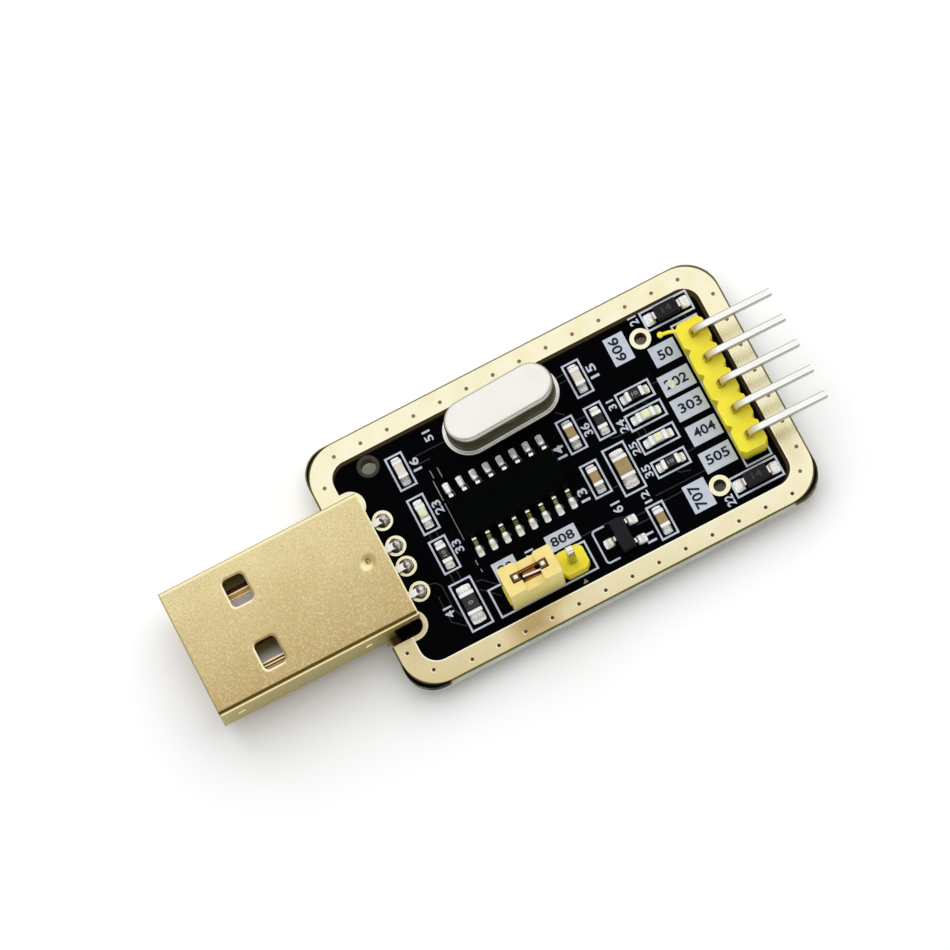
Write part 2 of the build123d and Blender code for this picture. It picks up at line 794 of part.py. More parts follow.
with BuildPart() as pad_solder:
    for group, (length, width), height, _, reach, _ in chip_groups:
        ends = [(0, side, length / 2) for side in (1, -1)]
        for x, y, turn in group.values():
            add(solder_feet(*spread(x, y), turn + 90, ends, reach, width, height, terminal_length))
    foot_top = part_seat + lead_thickness
    ends = [(0, side, diode_size[0] / 2 + diode_lead_reach) for side in (1, -1)]
    for x, y, turn in diode_places.values():
        add(solder_feet(
            x, y, turn + 90, ends, small_solder, diode_solder_width, foot_top, diode_lead_reach * lead_foot))
    ends = [(along, side, chip_width / 2 + chip_lead_reach) for side in (1, -1) for along in chip_row]
    add(solder_feet(
        *chip_place, 0, ends, pad_overrun, chip_lead_width * chip_solder_share, foot_top,
        chip_lead_reach * lead_foot))
    ends = [(along, side, start + regulator_lead_reach) for along, side, start in regulator_ends]
    add(solder_feet(
        *spread(*regulator_place), 90, ends, small_solder, chip_lead_width * regulator_solder_share, foot_top,
        regulator_lead_reach * lead_foot))


# Solder of the plug: it closes the notches below the shell's legs and fills the contact holes
underside = -board_thickness - copper_thickness
with BuildPart() as usb_solder:
    with BuildSketch(deck(z=underside)):
        notch_shape(0, Mode.ADD)
        with Locations((board_front - laminate_margin, 0)):
            Rectangle(2 * laminate_margin, board_width, mode=Mode.SUBTRACT)
    extrude(amount=notch_solder_high - underside)
    with BuildSketch(upright()):
        with BuildLine():
            Polyline(
                (skirt_start, notch_solder_high), (skirt_start + notch_solder_slope, notch_solder_low),
                (notch_end, notch_solder_low), (notch_end, notch_solder_high), close=True)
        make_face()
    extrude(amount=board_width, both=True, mode=Mode.SUBTRACT)
    add(usb_shell.part, mode=Mode.SUBTRACT)
    for (x, y), contact in zip(contact_places, usb_contacts.values()):
        with Locations(deck(x, y, underside / 2)):
            Cylinder(contact_hole, -underside)
        with Locations(deck(x, y, underside - solder_height / 2)):
            Cone(tail_width / 2, contact_pad * solder_foot_share, solder_height)
        with Locations(deck(x, y, solder_top_rise / 2)):
            Cone(contact_hole, tail_width / 2, solder_top_rise)
        add(contact.part, mode=Mode.SUBTRACT)

with BuildPart() as through_hole_solder:
    for x, y in header_places + jumper_places:
        with Locations(deck(x, y, underside - solder_height / 2)):
            Cone(pin_width * pin_solder_share, pin_pad * solder_foot_share, solder_height)
    for x, y in wire_places:
        with Locations(deck(x, y, underside - solder_height / 2)):
            Cone(wire_radius * wire_solder_share, wire_pad * solder_foot_share, solder_height)
    for tails in (header_pins, jumper_pins, crystal_leads):
        add(tails.part, mode=Mode.SUBTRACT)

pieces = {
    "board": board,
    "top_copper": top_copper,
    "bottom_copper": bottom_copper,
    "silkscreen": silkscreen,
    "usb_shell": usb_shell,
    "usb_insulator": usb_insulator,
    **usb_contacts,
    "usb_solder": usb_solder,
    "crystal_can": crystal_can,
    "crystal_leads": crystal_leads,
    "chip_body": chip_body,
    "chip_leads": chip_leads,
    "regulator_body": regulator_body,
    "regulator_leads": regulator_leads,
    "header_block": header_block,
    "header_pins": header_pins,
    "jumper_block": jumper_block,
    "jumper_pins": jumper_pins,
    "jumper_cap": jumper_cap,
    "jumper_contact": jumper_contact,
    "through_hole_solder": through_hole_solder,
    "pad_solder": pad_solder,
    **chip_parts,
}

os.makedirs("parts", exist_ok=True)
for name, piece in pieces.items():
    piece.part.label = name
    export_step(piece.part, f"parts/{name}.step")
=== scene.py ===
import json
import logging
import math
import random
from collections.abc import Iterable, Sequence
from dataclasses import dataclass, field
from enum import Enum
from typing import Any

import bmesh
import bpy
from mathutils import Matrix, Vector

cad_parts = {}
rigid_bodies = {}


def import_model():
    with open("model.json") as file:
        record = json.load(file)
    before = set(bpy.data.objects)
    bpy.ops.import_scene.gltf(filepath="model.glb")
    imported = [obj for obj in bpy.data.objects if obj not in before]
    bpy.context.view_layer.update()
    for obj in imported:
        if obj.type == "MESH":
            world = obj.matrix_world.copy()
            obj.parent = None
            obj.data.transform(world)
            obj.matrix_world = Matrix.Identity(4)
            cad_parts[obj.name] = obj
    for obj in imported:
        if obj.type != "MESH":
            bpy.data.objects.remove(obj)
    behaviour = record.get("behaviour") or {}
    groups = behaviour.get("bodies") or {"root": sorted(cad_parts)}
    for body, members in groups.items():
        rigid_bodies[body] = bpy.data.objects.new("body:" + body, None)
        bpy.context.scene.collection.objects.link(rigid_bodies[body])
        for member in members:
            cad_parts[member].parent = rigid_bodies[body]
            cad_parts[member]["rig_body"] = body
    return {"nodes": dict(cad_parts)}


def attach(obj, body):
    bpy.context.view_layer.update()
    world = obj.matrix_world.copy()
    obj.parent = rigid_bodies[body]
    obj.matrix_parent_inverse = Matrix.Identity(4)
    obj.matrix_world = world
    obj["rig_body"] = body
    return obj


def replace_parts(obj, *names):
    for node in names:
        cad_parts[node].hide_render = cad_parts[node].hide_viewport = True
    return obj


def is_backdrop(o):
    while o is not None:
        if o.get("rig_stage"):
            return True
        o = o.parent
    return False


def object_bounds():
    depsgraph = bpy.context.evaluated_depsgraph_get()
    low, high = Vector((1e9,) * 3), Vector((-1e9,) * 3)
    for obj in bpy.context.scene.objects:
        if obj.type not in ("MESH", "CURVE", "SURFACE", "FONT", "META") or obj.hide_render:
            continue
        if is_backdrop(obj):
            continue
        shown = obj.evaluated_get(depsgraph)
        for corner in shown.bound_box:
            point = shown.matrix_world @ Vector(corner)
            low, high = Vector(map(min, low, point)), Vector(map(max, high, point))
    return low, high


# Places and sizes are board millimetres, as in the part's source: x runs from the row of plug contact holes
# towards the header, y runs across the board, and z runs up from the laminate's top face.

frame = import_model()
log = logging.getLogger("adapter_module")

MM = 0.001
MIDDLE_X = 9.2
DECK_Z = 2.8
MODULE = "module"
JUMPER = "jumper"
BEVEL_SAMPLES = 4
GRAIN_DETAIL = 2.0
GRAIN_LOW = 0.35
PATCH_DETAIL = 3.0
PATCH_LOW = 0.3
EDGE_REACH = 0.25
MERGE_DISTANCE = 1e-6
FLAT_ANGLE = 1.0
FIGURE_DEPTH = 0.5
FIGURE_WEIGHT = 0.022
FIGURE_STEPS = 3
BEND_STEPS = 5
BOARD_ORIGIN = {"X": -MIDDLE_X, "Y": 0.0, "Z": DECK_Z}

Colour = tuple[float, float, float]
Place = tuple[float, float]
Span = tuple[float, float, float, float]
Socket = bpy.types.NodeSocket
Piece = bpy.types.Object
Mesh = bpy.types.Mesh


def at(x: float, y: float, z: float = 0.0) -> Vector:
    """The point of the frame, in metres, at board millimetres x, y and z."""
    return Vector(((x - MIDDLE_X) * MM, y * MM, (z + DECK_Z) * MM))


class Graph:
    """Adds nodes to one tree and joins them.

    In a material, place is the socket of the object's coordinates.
    """

    place: Socket

    def __init__(self, tree: bpy.types.NodeTree) -> None:
        """Starts with an empty tree."""
        self.tree = tree
        tree.nodes.clear()

    def add(self, kind: str, inputs: dict[str | int, Any] | None = None, **settings: Any) -> bpy.types.Node:
        """Adds a node.

        Args:
            kind: The node's type name.
            inputs: A value or a socket for each input, by name or number.
            settings: The node's own properties.

        Returns:
            The new node.
        """
        node = self.tree.nodes.new(kind)
        for name, value in settings.items():
            setattr(node, name, value)
        for key, value in (inputs or {}).items():
            if isinstance(value, Socket):
                self.tree.links.new(value, node.inputs[key])
            else:
                node.inputs[key].default_value = value
        return node

    def axis(self, vector: Socket, name: str) -> Socket:
        """One part of a vector."""
        return self.add("ShaderNodeSeparateXYZ", {0: vector}).outputs[name]

    def maths(self, operation: str, *values: Any) -> Socket:
        """The result of one Math node."""
        return self.add("ShaderNodeMath", dict(enumerate(values)), operation=operation).outputs[0]

    def vector(self, operation: str, *values: Any) -> Socket:
        """The vector result of one Vector Math node."""
        return self.add("ShaderNodeVectorMath", dict(enumerate(values)), operation=operation).outputs[0]

    def span(self, value: Any, low: Any, high: Any, first: float, last: float) -> Socket:
        """A value mapped from low..high to first..last, and held at both ends."""
        inputs = {"Value": value, "From Min": low, "From Max": high, "To Min": first, "To Max": last}
        return self.add("ShaderNodeMapRange", inputs).outputs[0]

    def between(self, value: Any, low: float, high: float, soft: float) -> Socket:
        """One where a value lies from low to high, fading out over the soft width at both ends."""
        risen = self.span(value, low - soft, low + soft, 0.0, 1.0)
        return self.maths("MULTIPLY", risen, self.span(value, high - soft, high + soft, 1.0, 0.0))

    def blend(self, share: Any, first: Any, second: Any) -> Socket:
        """A colour between two colours, given as sockets or as three numbers.

        Args:
            share: How much of the second colour there is, from 0 to 1.
            first: The colour at 0.
            second: The colour at 1.

        Returns:
            The socket of the blended colour.
        """
        inputs = {0: share}
        for key, colour in ((6, first), (7, second)):
            inputs[key] = colour if isinstance(colour, Socket) else (*colour, 1.0)
        return self.add("ShaderNodeMix", inputs, data_type="RGBA").outputs[2]

    def effect(self, effect: "Effect", **inputs: Any) -> bpy.types.Node:
        """Adds one of the shared effects, with its inputs by name."""
        return self.add("ShaderNodeGroup", inputs, node_tree=effect_tree(effect))


class Effect(Enum):
    """The surface effects that several finishes share."""

    GRAIN = "fine_grain"
    REGION = "rounded_region"
    SPECKS = "sparse_specks"
    WEAR = "rubbed_edges"


FLOAT = "NodeSocketFloat"
INTEGER = "NodeSocketInt"
GEOMETRY = "NodeSocketGeometry"
VECTOR = "NodeSocketVector"
EFFECT_SOCKETS = {
    Effect.GRAIN: (
        {"Coordinates": VECTOR, **dict.fromkeys(("Scale", "Detail", "Low", "High", "Relief"), FLOAT)},
        {"Mask": FLOAT, "Normal": VECTOR}),
    Effect.REGION: (
        {"Coordinates": VECTOR, "Centre": VECTOR, "Half Size": VECTOR, "Corner": FLOAT, "Softness": FLOAT},
        {"Mask": FLOAT}),
    Effect.SPECKS: ({"Coordinates": VECTOR, "Scale": FLOAT, "Size": FLOAT, "Keep": FLOAT}, {"Mask": FLOAT}),
    Effect.WEAR: ({"Radius": FLOAT, "Reach": FLOAT}, {"Mask": FLOAT}),
}


def fill_grain(graph: Graph, ins: Any, outs: bpy.types.Node) -> None:
    """Noise that is stretched between two levels, as a mask and as fine relief."""
    noise = graph.add("ShaderNodeTexNoise", {
        "Vector": ins["Coordinates"], "Scale": ins["Scale"], "Detail": ins["Detail"]}).outputs[0]
    mask = graph.span(noise, ins["Low"], ins["High"], 0.0, 1.0)
    bump = graph.add("ShaderNodeBump", {"Height": noise, "Distance": ins["Relief"]})
    graph.tree.links.new(mask, outs.inputs["Mask"])
    graph.tree.links.new(bump.outputs["Normal"], outs.inputs["Normal"])


def fill_region(graph: Graph, ins: Any, outs: bpy.types.Node) -> None:
    """One inside a rounded rectangle seen from above, and nothing outside it."""
    offset = graph.vector("ABSOLUTE", graph.vector("SUBTRACT", ins["Coordinates"], ins["Centre"]))
    beyond = graph.vector("SUBTRACT", offset, ins["Half Size"])
    parts = graph.add("ShaderNodeSeparateXYZ", {0: beyond})
    sides = [graph.maths("ADD", parts.outputs[axis], ins["Corner"]) for axis in (0, 1)]
    outside = [graph.maths("MAXIMUM", side, 0.0) for side in sides]
    squares = [graph.maths("POWER", side, 2.0) for side in outside]
    length = graph.maths("SQRT", graph.maths("ADD", *squares))
    inside = graph.maths("MINIMUM", graph.maths("MAXIMUM", *sides), 0.0)
    distance = graph.maths("SUBTRACT", graph.maths("ADD", length, inside), ins["Corner"])
    inner = graph.maths("MULTIPLY", ins["Softness"], -1.0)
    mask = graph.span(distance, inner, ins["Softness"], 1.0, 0.0)
    graph.tree.links.new(mask, outs.inputs["Mask"])


def fill_specks(graph: Graph, ins: Any, outs: bpy.types.Node) -> None:
    """Small round specks, of which only a share is kept."""
    cells = graph.add("ShaderNodeTexVoronoi", {"Vector": ins["Coordinates"], "Scale": ins["Scale"]})
    chance = graph.add("ShaderNodeSeparateColor", {0: cells.outputs["Color"]}).outputs[0]
    kept = graph.maths("LESS_THAN", chance, ins["Keep"])
    small = graph.maths("LESS_THAN", cells.outputs["Distance"], ins["Size"])
    graph.tree.links.new(graph.maths("MULTIPLY", kept, small), outs.inputs["Mask"])


def fill_wear(graph: Graph, ins: Any, outs: bpy.types.Node) -> None:
    """One at edges and nothing on flat faces, from how far rounding would turn the normal."""
    rounded = graph.add("ShaderNodeBevel", {"Radius": ins["Radius"]}, samples=BEVEL_SAMPLES).outputs[0]
    true = graph.add("ShaderNodeNewGeometry").outputs["Normal"]
    turned = graph.add(
        "ShaderNodeVectorMath", {0: rounded, 1: true}, operation="DOT_PRODUCT").outputs["Value"]
    mask = graph.span(graph.maths("SUBTRACT", 1.0, turned), 0.0, ins["Reach"], 0.0, 1.0)
    graph.tree.links.new(mask, outs.inputs["Mask"])


EFFECT_FILLS = {
    Effect.GRAIN: fill_grain,
    Effect.REGION: fill_region,
    Effect.SPECKS: fill_specks,
    Effect.WEAR: fill_wear,
}


def effect_tree(effect: Effect) -> bpy.types.NodeTree:
    """The shader node group of a shared effect.

    Args:
        effect: Which effect.

    Returns:
        The group, made on its first use.
    """
    tree = bpy.data.node_groups.get(effect.value)
    if tree is None:
        tree = bpy.data.node_groups.new(effect.value, "ShaderNodeTree")
        graph = Graph(tree)
        for direction, sockets in zip(("INPUT", "OUTPUT"), EFFECT_SOCKETS[effect]):
            for name, kind in sockets.items():
                tree.interface.new_socket(name=name, in_out=direction, socket_type=kind)
        ins = graph.add("NodeGroupInput").outputs
        EFFECT_FILLS[effect](graph, ins, graph.add("NodeGroupOutput"))
    return tree


def metres(axis: str, value: float) -> float:
    """A board coordinate, in the frame's metres."""
    return (value + BOARD_ORIGIN[axis]) * MM


class Mask:
    """A share from 0 to 1 over a surface, in board millimetres."""

    def share(self, graph: Graph) -> Socket:
        """The mask in one material.

        Args:
            graph: The material's tree.

        Returns:
            The mask's socket.
        """
        raise NotImplementedError


@dataclass(frozen=True)
class Ramp(Mask):
    """A share that goes from first to last between two values of a coordinate.

    With a lean, that share of x is added to the coordinate.
    """

    axis: str
    low: float
    high: float
    first: float = 0.0
    last: float = 1.0
    lean: float = 0.0

    def share(self, graph: Graph) -> Socket:
        """The ramp in one material."""
        value = graph.maths(
            "MULTIPLY_ADD", graph.axis(graph.place, "X"), self.lean, graph.axis(graph.place, self.axis))
        return graph.span(
            value, metres(self.axis, self.low), metres(self.axis, self.high), self.first, self.last)


@dataclass(frozen=True)
class Band(Mask):
    """Where a coordinate lies from low to high, with soft ends."""

    axis: str
    low: float
    high: float
    soft: float = 0.03

    def share(self, graph: Graph) -> Socket:
        """The band in one material."""
        low, high = metres(self.axis, self.low), metres(self.axis, self.high)
        return graph.between(graph.axis(graph.place, self.axis), low, high, self.soft * MM)


@dataclass(frozen=True)
class Comb(Mask):
    """What lies further than a distance from evenly spaced lines along the board."""

    offset: float
    pitch: float
    near: float
    far: float

    def share(self, graph: Graph) -> Socket:
        """The comb in one material."""
        shifted = graph.maths("SUBTRACT", graph.axis(graph.place, "Y"), metres("Y", self.offset))
        return graph.span(
            graph.maths("PINGPONG", shifted, self.pitch / 2 * MM), self.near * MM, self.far * MM, 0.0, 1.0)


@dataclass(frozen=True)
class Patch(Mask):
    """A rounded rectangle on the board: its middle, half its sides, its corner radius and its soft edge."""

    place: Place
    half: Place
    corner: float
    soft: float

    def share(self, graph: Graph) -> Socket:
        """The patch in one material."""
        sizes = {"Half Size": (self.half[0] * MM, self.half[1] * MM, 1.0), "Corner": self.corner * MM}
        return graph.effect(
            Effect.REGION, Coordinates=graph.place, Centre=at(*self.place), Softness=self.soft * MM,
            **sizes).outputs["Mask"]


@dataclass(frozen=True)
class Ring(Mask):
    """What one patch covers and another doesn't."""

    outer: Patch
    inner: Patch

    def share(self, graph: Graph) -> Socket:
        """The ring in one material."""
        outer, inner = (patch.share(graph) for patch in (self.outer, self.inner))
        return graph.maths("SUBTRACT", outer, inner)


@dataclass(frozen=True)
class Outside(Mask):
    """What a patch leaves."""

    patch: Patch

    def share(self, graph: Graph) -> Socket:
        """The rest in one material."""
        return graph.maths("SUBTRACT", 1.0, self.patch.share(graph))


@dataclass(frozen=True)
class Either(Mask):
    """Where one of two masks lies."""

    first: Mask
    second: Mask

    def share(self, graph: Graph) -> Socket:
        """The higher of the two in one material."""
        first, second = (mask.share(graph) for mask in (self.first, self.second))
        return graph.maths("MAXIMUM", first, second)


@dataclass(frozen=True)
class Facing(Mask):
    """A share that goes from first to last as a face turns level; faces that look down may count as well."""

    low: float
    high: float
    first: float = 0.0
    last: float = 1.0
    downward: bool = True
    normal: str = "Normal"

    def share(self, graph: Graph) -> Socket:
        """The share in one material.

        Args:
            graph: The material's tree.

        Returns:
            The mask's socket.
        """
        facing = graph.axis(graph.add("ShaderNodeNewGeometry").outputs[self.normal], "Z")
        if self.downward:
            facing = graph.maths("ABSOLUTE", facing)
        return graph.span(facing, self.low, self.high, self.first, self.last)


@dataclass(frozen=True)
class Noise(Mask):
    """Fine noise between two levels, which may be drawn out and moved."""

    scale: float
    detail: float
    low: float
    high: float
    stretch: Colour = (1.0, 1.0, 1.0)
    move: Colour = (0.0, 0.0, 0.0)

    def share(self, graph: Graph) -> Socket:
        """The noise in one material."""
        drawn = graph.add("ShaderNodeMapping", {
            "Vector": graph.place, "Location": self.move, "Scale": self.stretch}).outputs[0]
        return graph.effect(
            Effect.GRAIN, Coordinates=drawn, Scale=self.scale, Detail=self.detail, Low=self.low,
            High=self.high, Relief=0.0).outputs["Mask"]


@dataclass(frozen=True)
class Specks(Mask):
    """Small round specks, of which only a share is kept."""

    scale: float
    size: float
    keep: float

    def share(self, graph: Graph) -> Socket:
        """The specks in one material."""
        return graph.effect(
            Effect.SPECKS, Coordinates=graph.place, Scale=self.scale, Size=self.size,
            Keep=self.keep).outputs["Mask"]


def common(graph: Graph, masks: Iterable[Mask], strength: float) -> Socket | float:
    """What several masks have in common, times a strength.

    Args:
        graph: The material's tree.
        masks: The masks.
        strength: The most that they make.

    Returns:
        The share's socket.
    """
    share = strength
    for mask in masks:
        share = graph.maths("MULTIPLY", share, mask.share(graph))
    return share


@dataclass(frozen=True)
class Layer:
    """A tint where all its masks lie, or two tints that a texture mixes."""

    tint: Colour
    masks: tuple[Mask, ...]
    strength: float = 1.0
    texture: Mask | None = None
    second: Colour = (1.0, 1.0, 1.0)

    def over(self, graph: Graph, colour: Socket) -> Socket:
        """Lays the tint over a colour.

        Args:
            graph: The material's tree.
            colour: The colour below.

        Returns:
            The socket of the new colour.
        """
        tint = self.tint
        if self.texture is not None:
            tint = graph.blend(self.texture.share(graph), tint, self.second)
        return graph.blend(common(graph, self.masks, self.strength), colour, tint)


@dataclass(frozen=True)
class Finish:
    """A surface: two tones in soft patches, a fine grain in its gloss and relief, and layers over them.

    Lengths are millimetres, and colours are linear. Where the dull masks lie, the metal is hidden.
    """

    name: str
    colour: Colour
    second: Colour
    roughness: float
    metallic: float = 0.0
    specular: float = 0.5
    roughness_spread: float = 0.05
    patch_size: float = 2.0
    grain_size: float = 0.12
    relief: float = 0.004
    coat: float = 0.0
    subsurface: float = 0.0
    edge: Colour | None = None
    edge_radius: float = 0.08
    layers: tuple[Layer, ...] = ()
    dull: tuple[Mask, ...] = ()
    dull_share: float = 1.0

    def build(self) -> bpy.types.Material:
        """Makes the material, or returns the one that was made before.

        Returns:
            The material of this finish.
        """
        found = bpy.data.materials.get(self.name)
        if found is not None:
            return found
        material = bpy.data.materials.new(self.name)
        material.use_nodes = True
        material.diffuse_color = (*self.colour, 1.0)
        graph = Graph(material.node_tree)
        shader = graph.add("ShaderNodeBsdfPrincipled", {
            "Metallic": self.metallic, "Specular IOR Level": self.specular, "Coat Weight": self.coat,
            "Subsurface Weight": self.subsurface, "Subsurface Scale": MM})
        graph.add("ShaderNodeOutputMaterial", {"Surface": shader.outputs[0]})
        graph.place = graph.add("ShaderNodeTexCoord").outputs["Object"]
        self.dress(graph, shader.inputs)
        return material

    def dress(self, graph: Graph, ins: Any) -> None:
        """Joins what changes over the surface to the shader.

        Args:
            graph: The material's tree.
            ins: The inputs of its Principled BSDF.
        """
        grain = self.noise(graph, self.grain_size, GRAIN_DETAIL, GRAIN_LOW, self.relief)
        rough = graph.span(
            grain["Mask"], 0.0, 1.0, self.roughness - self.roughness_spread,
            self.roughness + self.roughness_spread)
        graph.tree.links.new(self.tone(graph), ins["Base Color"])
        graph.tree.links.new(rough, ins["Roughness"])
        graph.tree.links.new(grain["Normal"], ins["Normal"])
        if self.dull:
            hidden = common(graph, self.dull, self.dull_share)
            graph.tree.links.new(graph.maths("SUBTRACT", 1.0, hidden), ins["Metallic"])

    @staticmethod
    def noise(
        graph: Graph, size: float, detail: float, low: float, relief: float,
    ) -> Any:
        """The outputs of a noise of one grain size, cut off at a low level and its opposite."""
        return graph.effect(
            Effect.GRAIN, Coordinates=graph.place, Scale=1 / (size * MM), Detail=detail, Low=low,
            High=1.0 - low, Relief=relief * MM).outputs

    def tone(self, graph: Graph) -> Socket:
        """The colour: two tones in patches, with paler edges where the finish has them, and the layers.

        Args:
            graph: The material's tree.

        Returns:
            The colour's socket.
        """
        patches = self.noise(graph, self.patch_size, PATCH_DETAIL, PATCH_LOW, 0.0)
        colour = graph.blend(patches["Mask"], self.colour, self.second)
        if self.edge is not None:
            wear = graph.effect(Effect.WEAR, Radius=self.edge_radius * MM, Reach=EDGE_REACH)
            colour = graph.blend(wear.outputs["Mask"], colour, self.edge)
        for layer in self.layers:
            colour = layer.over(graph, colour)
        return colour


def board_patch(inset: float, corner: float, soft: float, shift: float = 0.0) -> Patch:
    """The board's outline, drawn in by an inset and moved towards the plug and the near side."""
    middle, half = (BOARD_MIDDLE[0] - shift, BOARD_MIDDLE[1] - shift), [side - inset for side in BOARD_HALF]
    return Patch(middle, (half[0], half[1]), corner, soft)


def window_layers(side: int) -> tuple[Layer, ...]:
    """The painted highlight and shade rings round one of the shell's windows, and painted brown shade on its
    walls.

    Args:
        side: 1 for the window on the far side, -1 for the near one.

    Returns:
        The layers.
    """
    x, y = WINDOW_PLACE[0], side * WINDOW_PLACE[1]
    hole = Patch((x, y), WINDOW_HALF, WINDOW_CORNER, 0.015)
    half, corner = (WINDOW_HALF[0] + RING, WINDOW_HALF[1] + RING), WINDOW_CORNER + RING
    layers = []
    for way, strength, tint in ((-1, 1.0, SHELL_PAINTED_HIGHLIGHT), (1, 0.55, SHELL_SHADE)):
        ring = Ring(Patch((x + way * RING, y + way * RING), half, corner, 0.025), hole)
        layers.append(Layer(tint, (ring,), strength))
    return *layers, Layer((0.24, 0.13, 0.03), (Patch((x, y), half, corner, 0.01), SHELL_WALLS))


BOARD_MIDDLE = (15.275, 0.0)
BOARD_HALF = (19.425, 11.55)
DRAWN_OUT = (0.25, 0.25, 3.0)
# Darker tints for the upper cut faces and bevels near two corners of the near side
EDGE_CORNER_DARKENING = (
    ((0.003, 0.003, 0.002), Patch((-2.9, -10.3), (1.75, 1.75), 0.3, 0.15)),
    ((0.035, 0.028, 0.012), Patch((33.4, -10.2), (1.75, 1.75), 0.3, 0.15)))
CUT_FACES = Facing(0.9, 0.9001, 1.0, 0.0, normal="True Normal")
BEVELS = Facing(0.3, 0.3001, normal="True Normal")
MASK_BLACK = (0.0004, 0.0005, 0.0009)
# From the board's top to its cut faces: specks, the lone hole's ring, the brown band beside the rim, the two
# tones outside the copper's corners, then glass threads, plating in the holes, darker corner patches and
# bevels
MASK_LAYERS = (
    Layer((0.02, 0.021, 0.024), (Specks(900.0, 0.05, 0.25),)),
    Layer((0.045, 0.047, 0.045), (Patch((1.07, 8.33), (0.98, 0.98), 0.98, 0.03),)),
    Layer((0.045, 0.028, 0.012), (Outside(board_patch(2.01, 1.6, 0.06, shift=0.16)),)),
    Layer((0.12, 0.10, 0.04), (Outside(board_patch(0.0, 3.2, 0.02)),)),
    Layer(MASK_BLACK, (Outside(board_patch(0.0, 2.9, 0.02)),)),
    Layer(
        (0.36, 0.39, 0.30), (CUT_FACES,), texture=Noise(2600.0, 5.0, 0.38, 0.62, DRAWN_OUT),
        second=(0.62, 0.66, 0.56)),
    Layer((0.16, 0.095, 0.03), (CUT_FACES, board_patch(0.25, 2.6, 0.01))),
    *(Layer(tint, (CUT_FACES, darkened_area, Ramp("Z", -1.15, -0.95))) for tint, darkened_area in EDGE_CORNER_DARKENING),
    Layer((0.15, 0.125, 0.045), (CUT_FACES, BEVELS)),
    *(Layer(tint, (CUT_FACES, BEVELS, darkened_area)) for tint, darkened_area in EDGE_CORNER_DARKENING))
# Painted shade as deeper gold towards the plug and the near side, three painted shaded patches (the darkest
# the jumper's reflection), and a painted highlight along the inner edge
RIM_LAYERS = (
    Layer((0.66, 0.54, 0.28), (Ramp("Y", -15.5, -1.5, 0.95, 0.0, lean=0.3),)),
    Layer((0.36, 0.22, 0.045), (Patch((7.2, -10.7), (1.5, 0.9), 0.3, 1.4),), 0.85),
    Layer((0.55, 0.38, 0.16), (Patch((-2.9, -7.4), (0.6, 1.4), 0.3, 0.8),), 0.35),
    Layer((0.62, 0.46, 0.20), (Patch((33.4, -7.0), (0.5, 1.6), 0.3, 0.9),), 0.4),
    Layer((1.0, 0.97, 0.82), (
        Ring(board_patch(1.74, 1.71, 0.02), board_patch(1.85, 1.6, 0.02)),
        Ramp("Y", -3.0, 8.0, 0.9, 0.25))))
# Painted shade as brown bands and painted highlights as bright lines where the contacts lie in the plug's
# shade, and silver solder on the tails
CONTACT_LAYERS = (
    *(Layer((0.075, 0.028, 0.010), (Band("Y", *ends),))
      for ends in ((3.62, 4.1), (-3.32, -3.19), (-3.6, -3.48))),
    *(Layer((1.0, 0.90, 0.58), (Band("Y", middle - half, middle + half, 0.02),), strength)
      for middle, half, strength in (
          (3.55, 0.05, 1.0), (3.1, 0.035, 0.6), (-3.1, 0.055, 1.0), (-3.4, 0.045, 0.9), (-3.62, 0.02, 0.4))),
    Layer((0.88, 0.86, 0.80), (Ramp("X", -4.9, -3.9),)))
# Painted olive shade on the insulator under each window, and a black rear end
INSULATOR_LAYERS = (
    *(Layer((0.19, 0.16, 0.045), (Band("X", -15.85, -11.45, 0.4), Band("Y", *darkened_area)))
      for darkened_area in ((3.75, 5.2, 0.25), (-2.5, -0.6, 0.5))),
    Layer((0.006, 0.005, 0.004), (Ramp("X", -5.2, -5.199),)))
# Painted reflection: the upright sides are painted dark with paler streaks, as they mirror the dark board,
# and their metal is partly hidden
CAN_SIDES = Facing(0.45, 0.90, 1.0, 0.0)
CRYSTAL_LAYERS = (
    Layer(
        (0.085, 0.075, 0.042), (CAN_SIDES,), texture=Noise(2200.0, 3.0, 0.52, 0.68, DRAWN_OUT),
        second=(0.21, 0.19, 0.11)),)
# Painted shade along the pins' edges, and painted olive shading at their roots beside the block
HEADER_PIN_LAYERS = (
    Layer((0.42, 0.41, 0.37), (Comb(-0.07, 2.54, 0.215, 0.265),)),
    Layer((0.50, 0.40, 0.10), (Ramp("X", 30.75, 31.9, 1.0, 0.0),)))
# Painted brown shade on the covered pins round their tips, and a painted olive reflection below the free
# one's tip
JUMPER_PIN_LAYERS = (
    Layer((0.26, 0.13, 0.035), (
        Ramp("X", 11.5, 11.501, 1.0, 0.0),
        *(Outside(Patch((x, -7.55), (0.17, 0.17), 0.06, 0.03)) for x in (7.55, 10.09)))),
    Layer((0.34, 0.28, 0.05), (Ramp("Z", 4.75, 5.05, 1.0, 0.0),), 0.8))
# Painted olive shade on the near row, and painted dark shade at the bends of both rows
CHIP_LEAD_LAYERS = (
    Layer((0.62, 0.59, 0.32), (Band("Y", -2.32, -1.98, 0.05),)),
    *(Layer((0.03, 0.03, 0.025), (Band("Y", *bend, 0.015),))
      for bend in ((2.58, 2.66), (2.9, 2.98), (-2.02, -1.94), (-2.36, -2.30))))
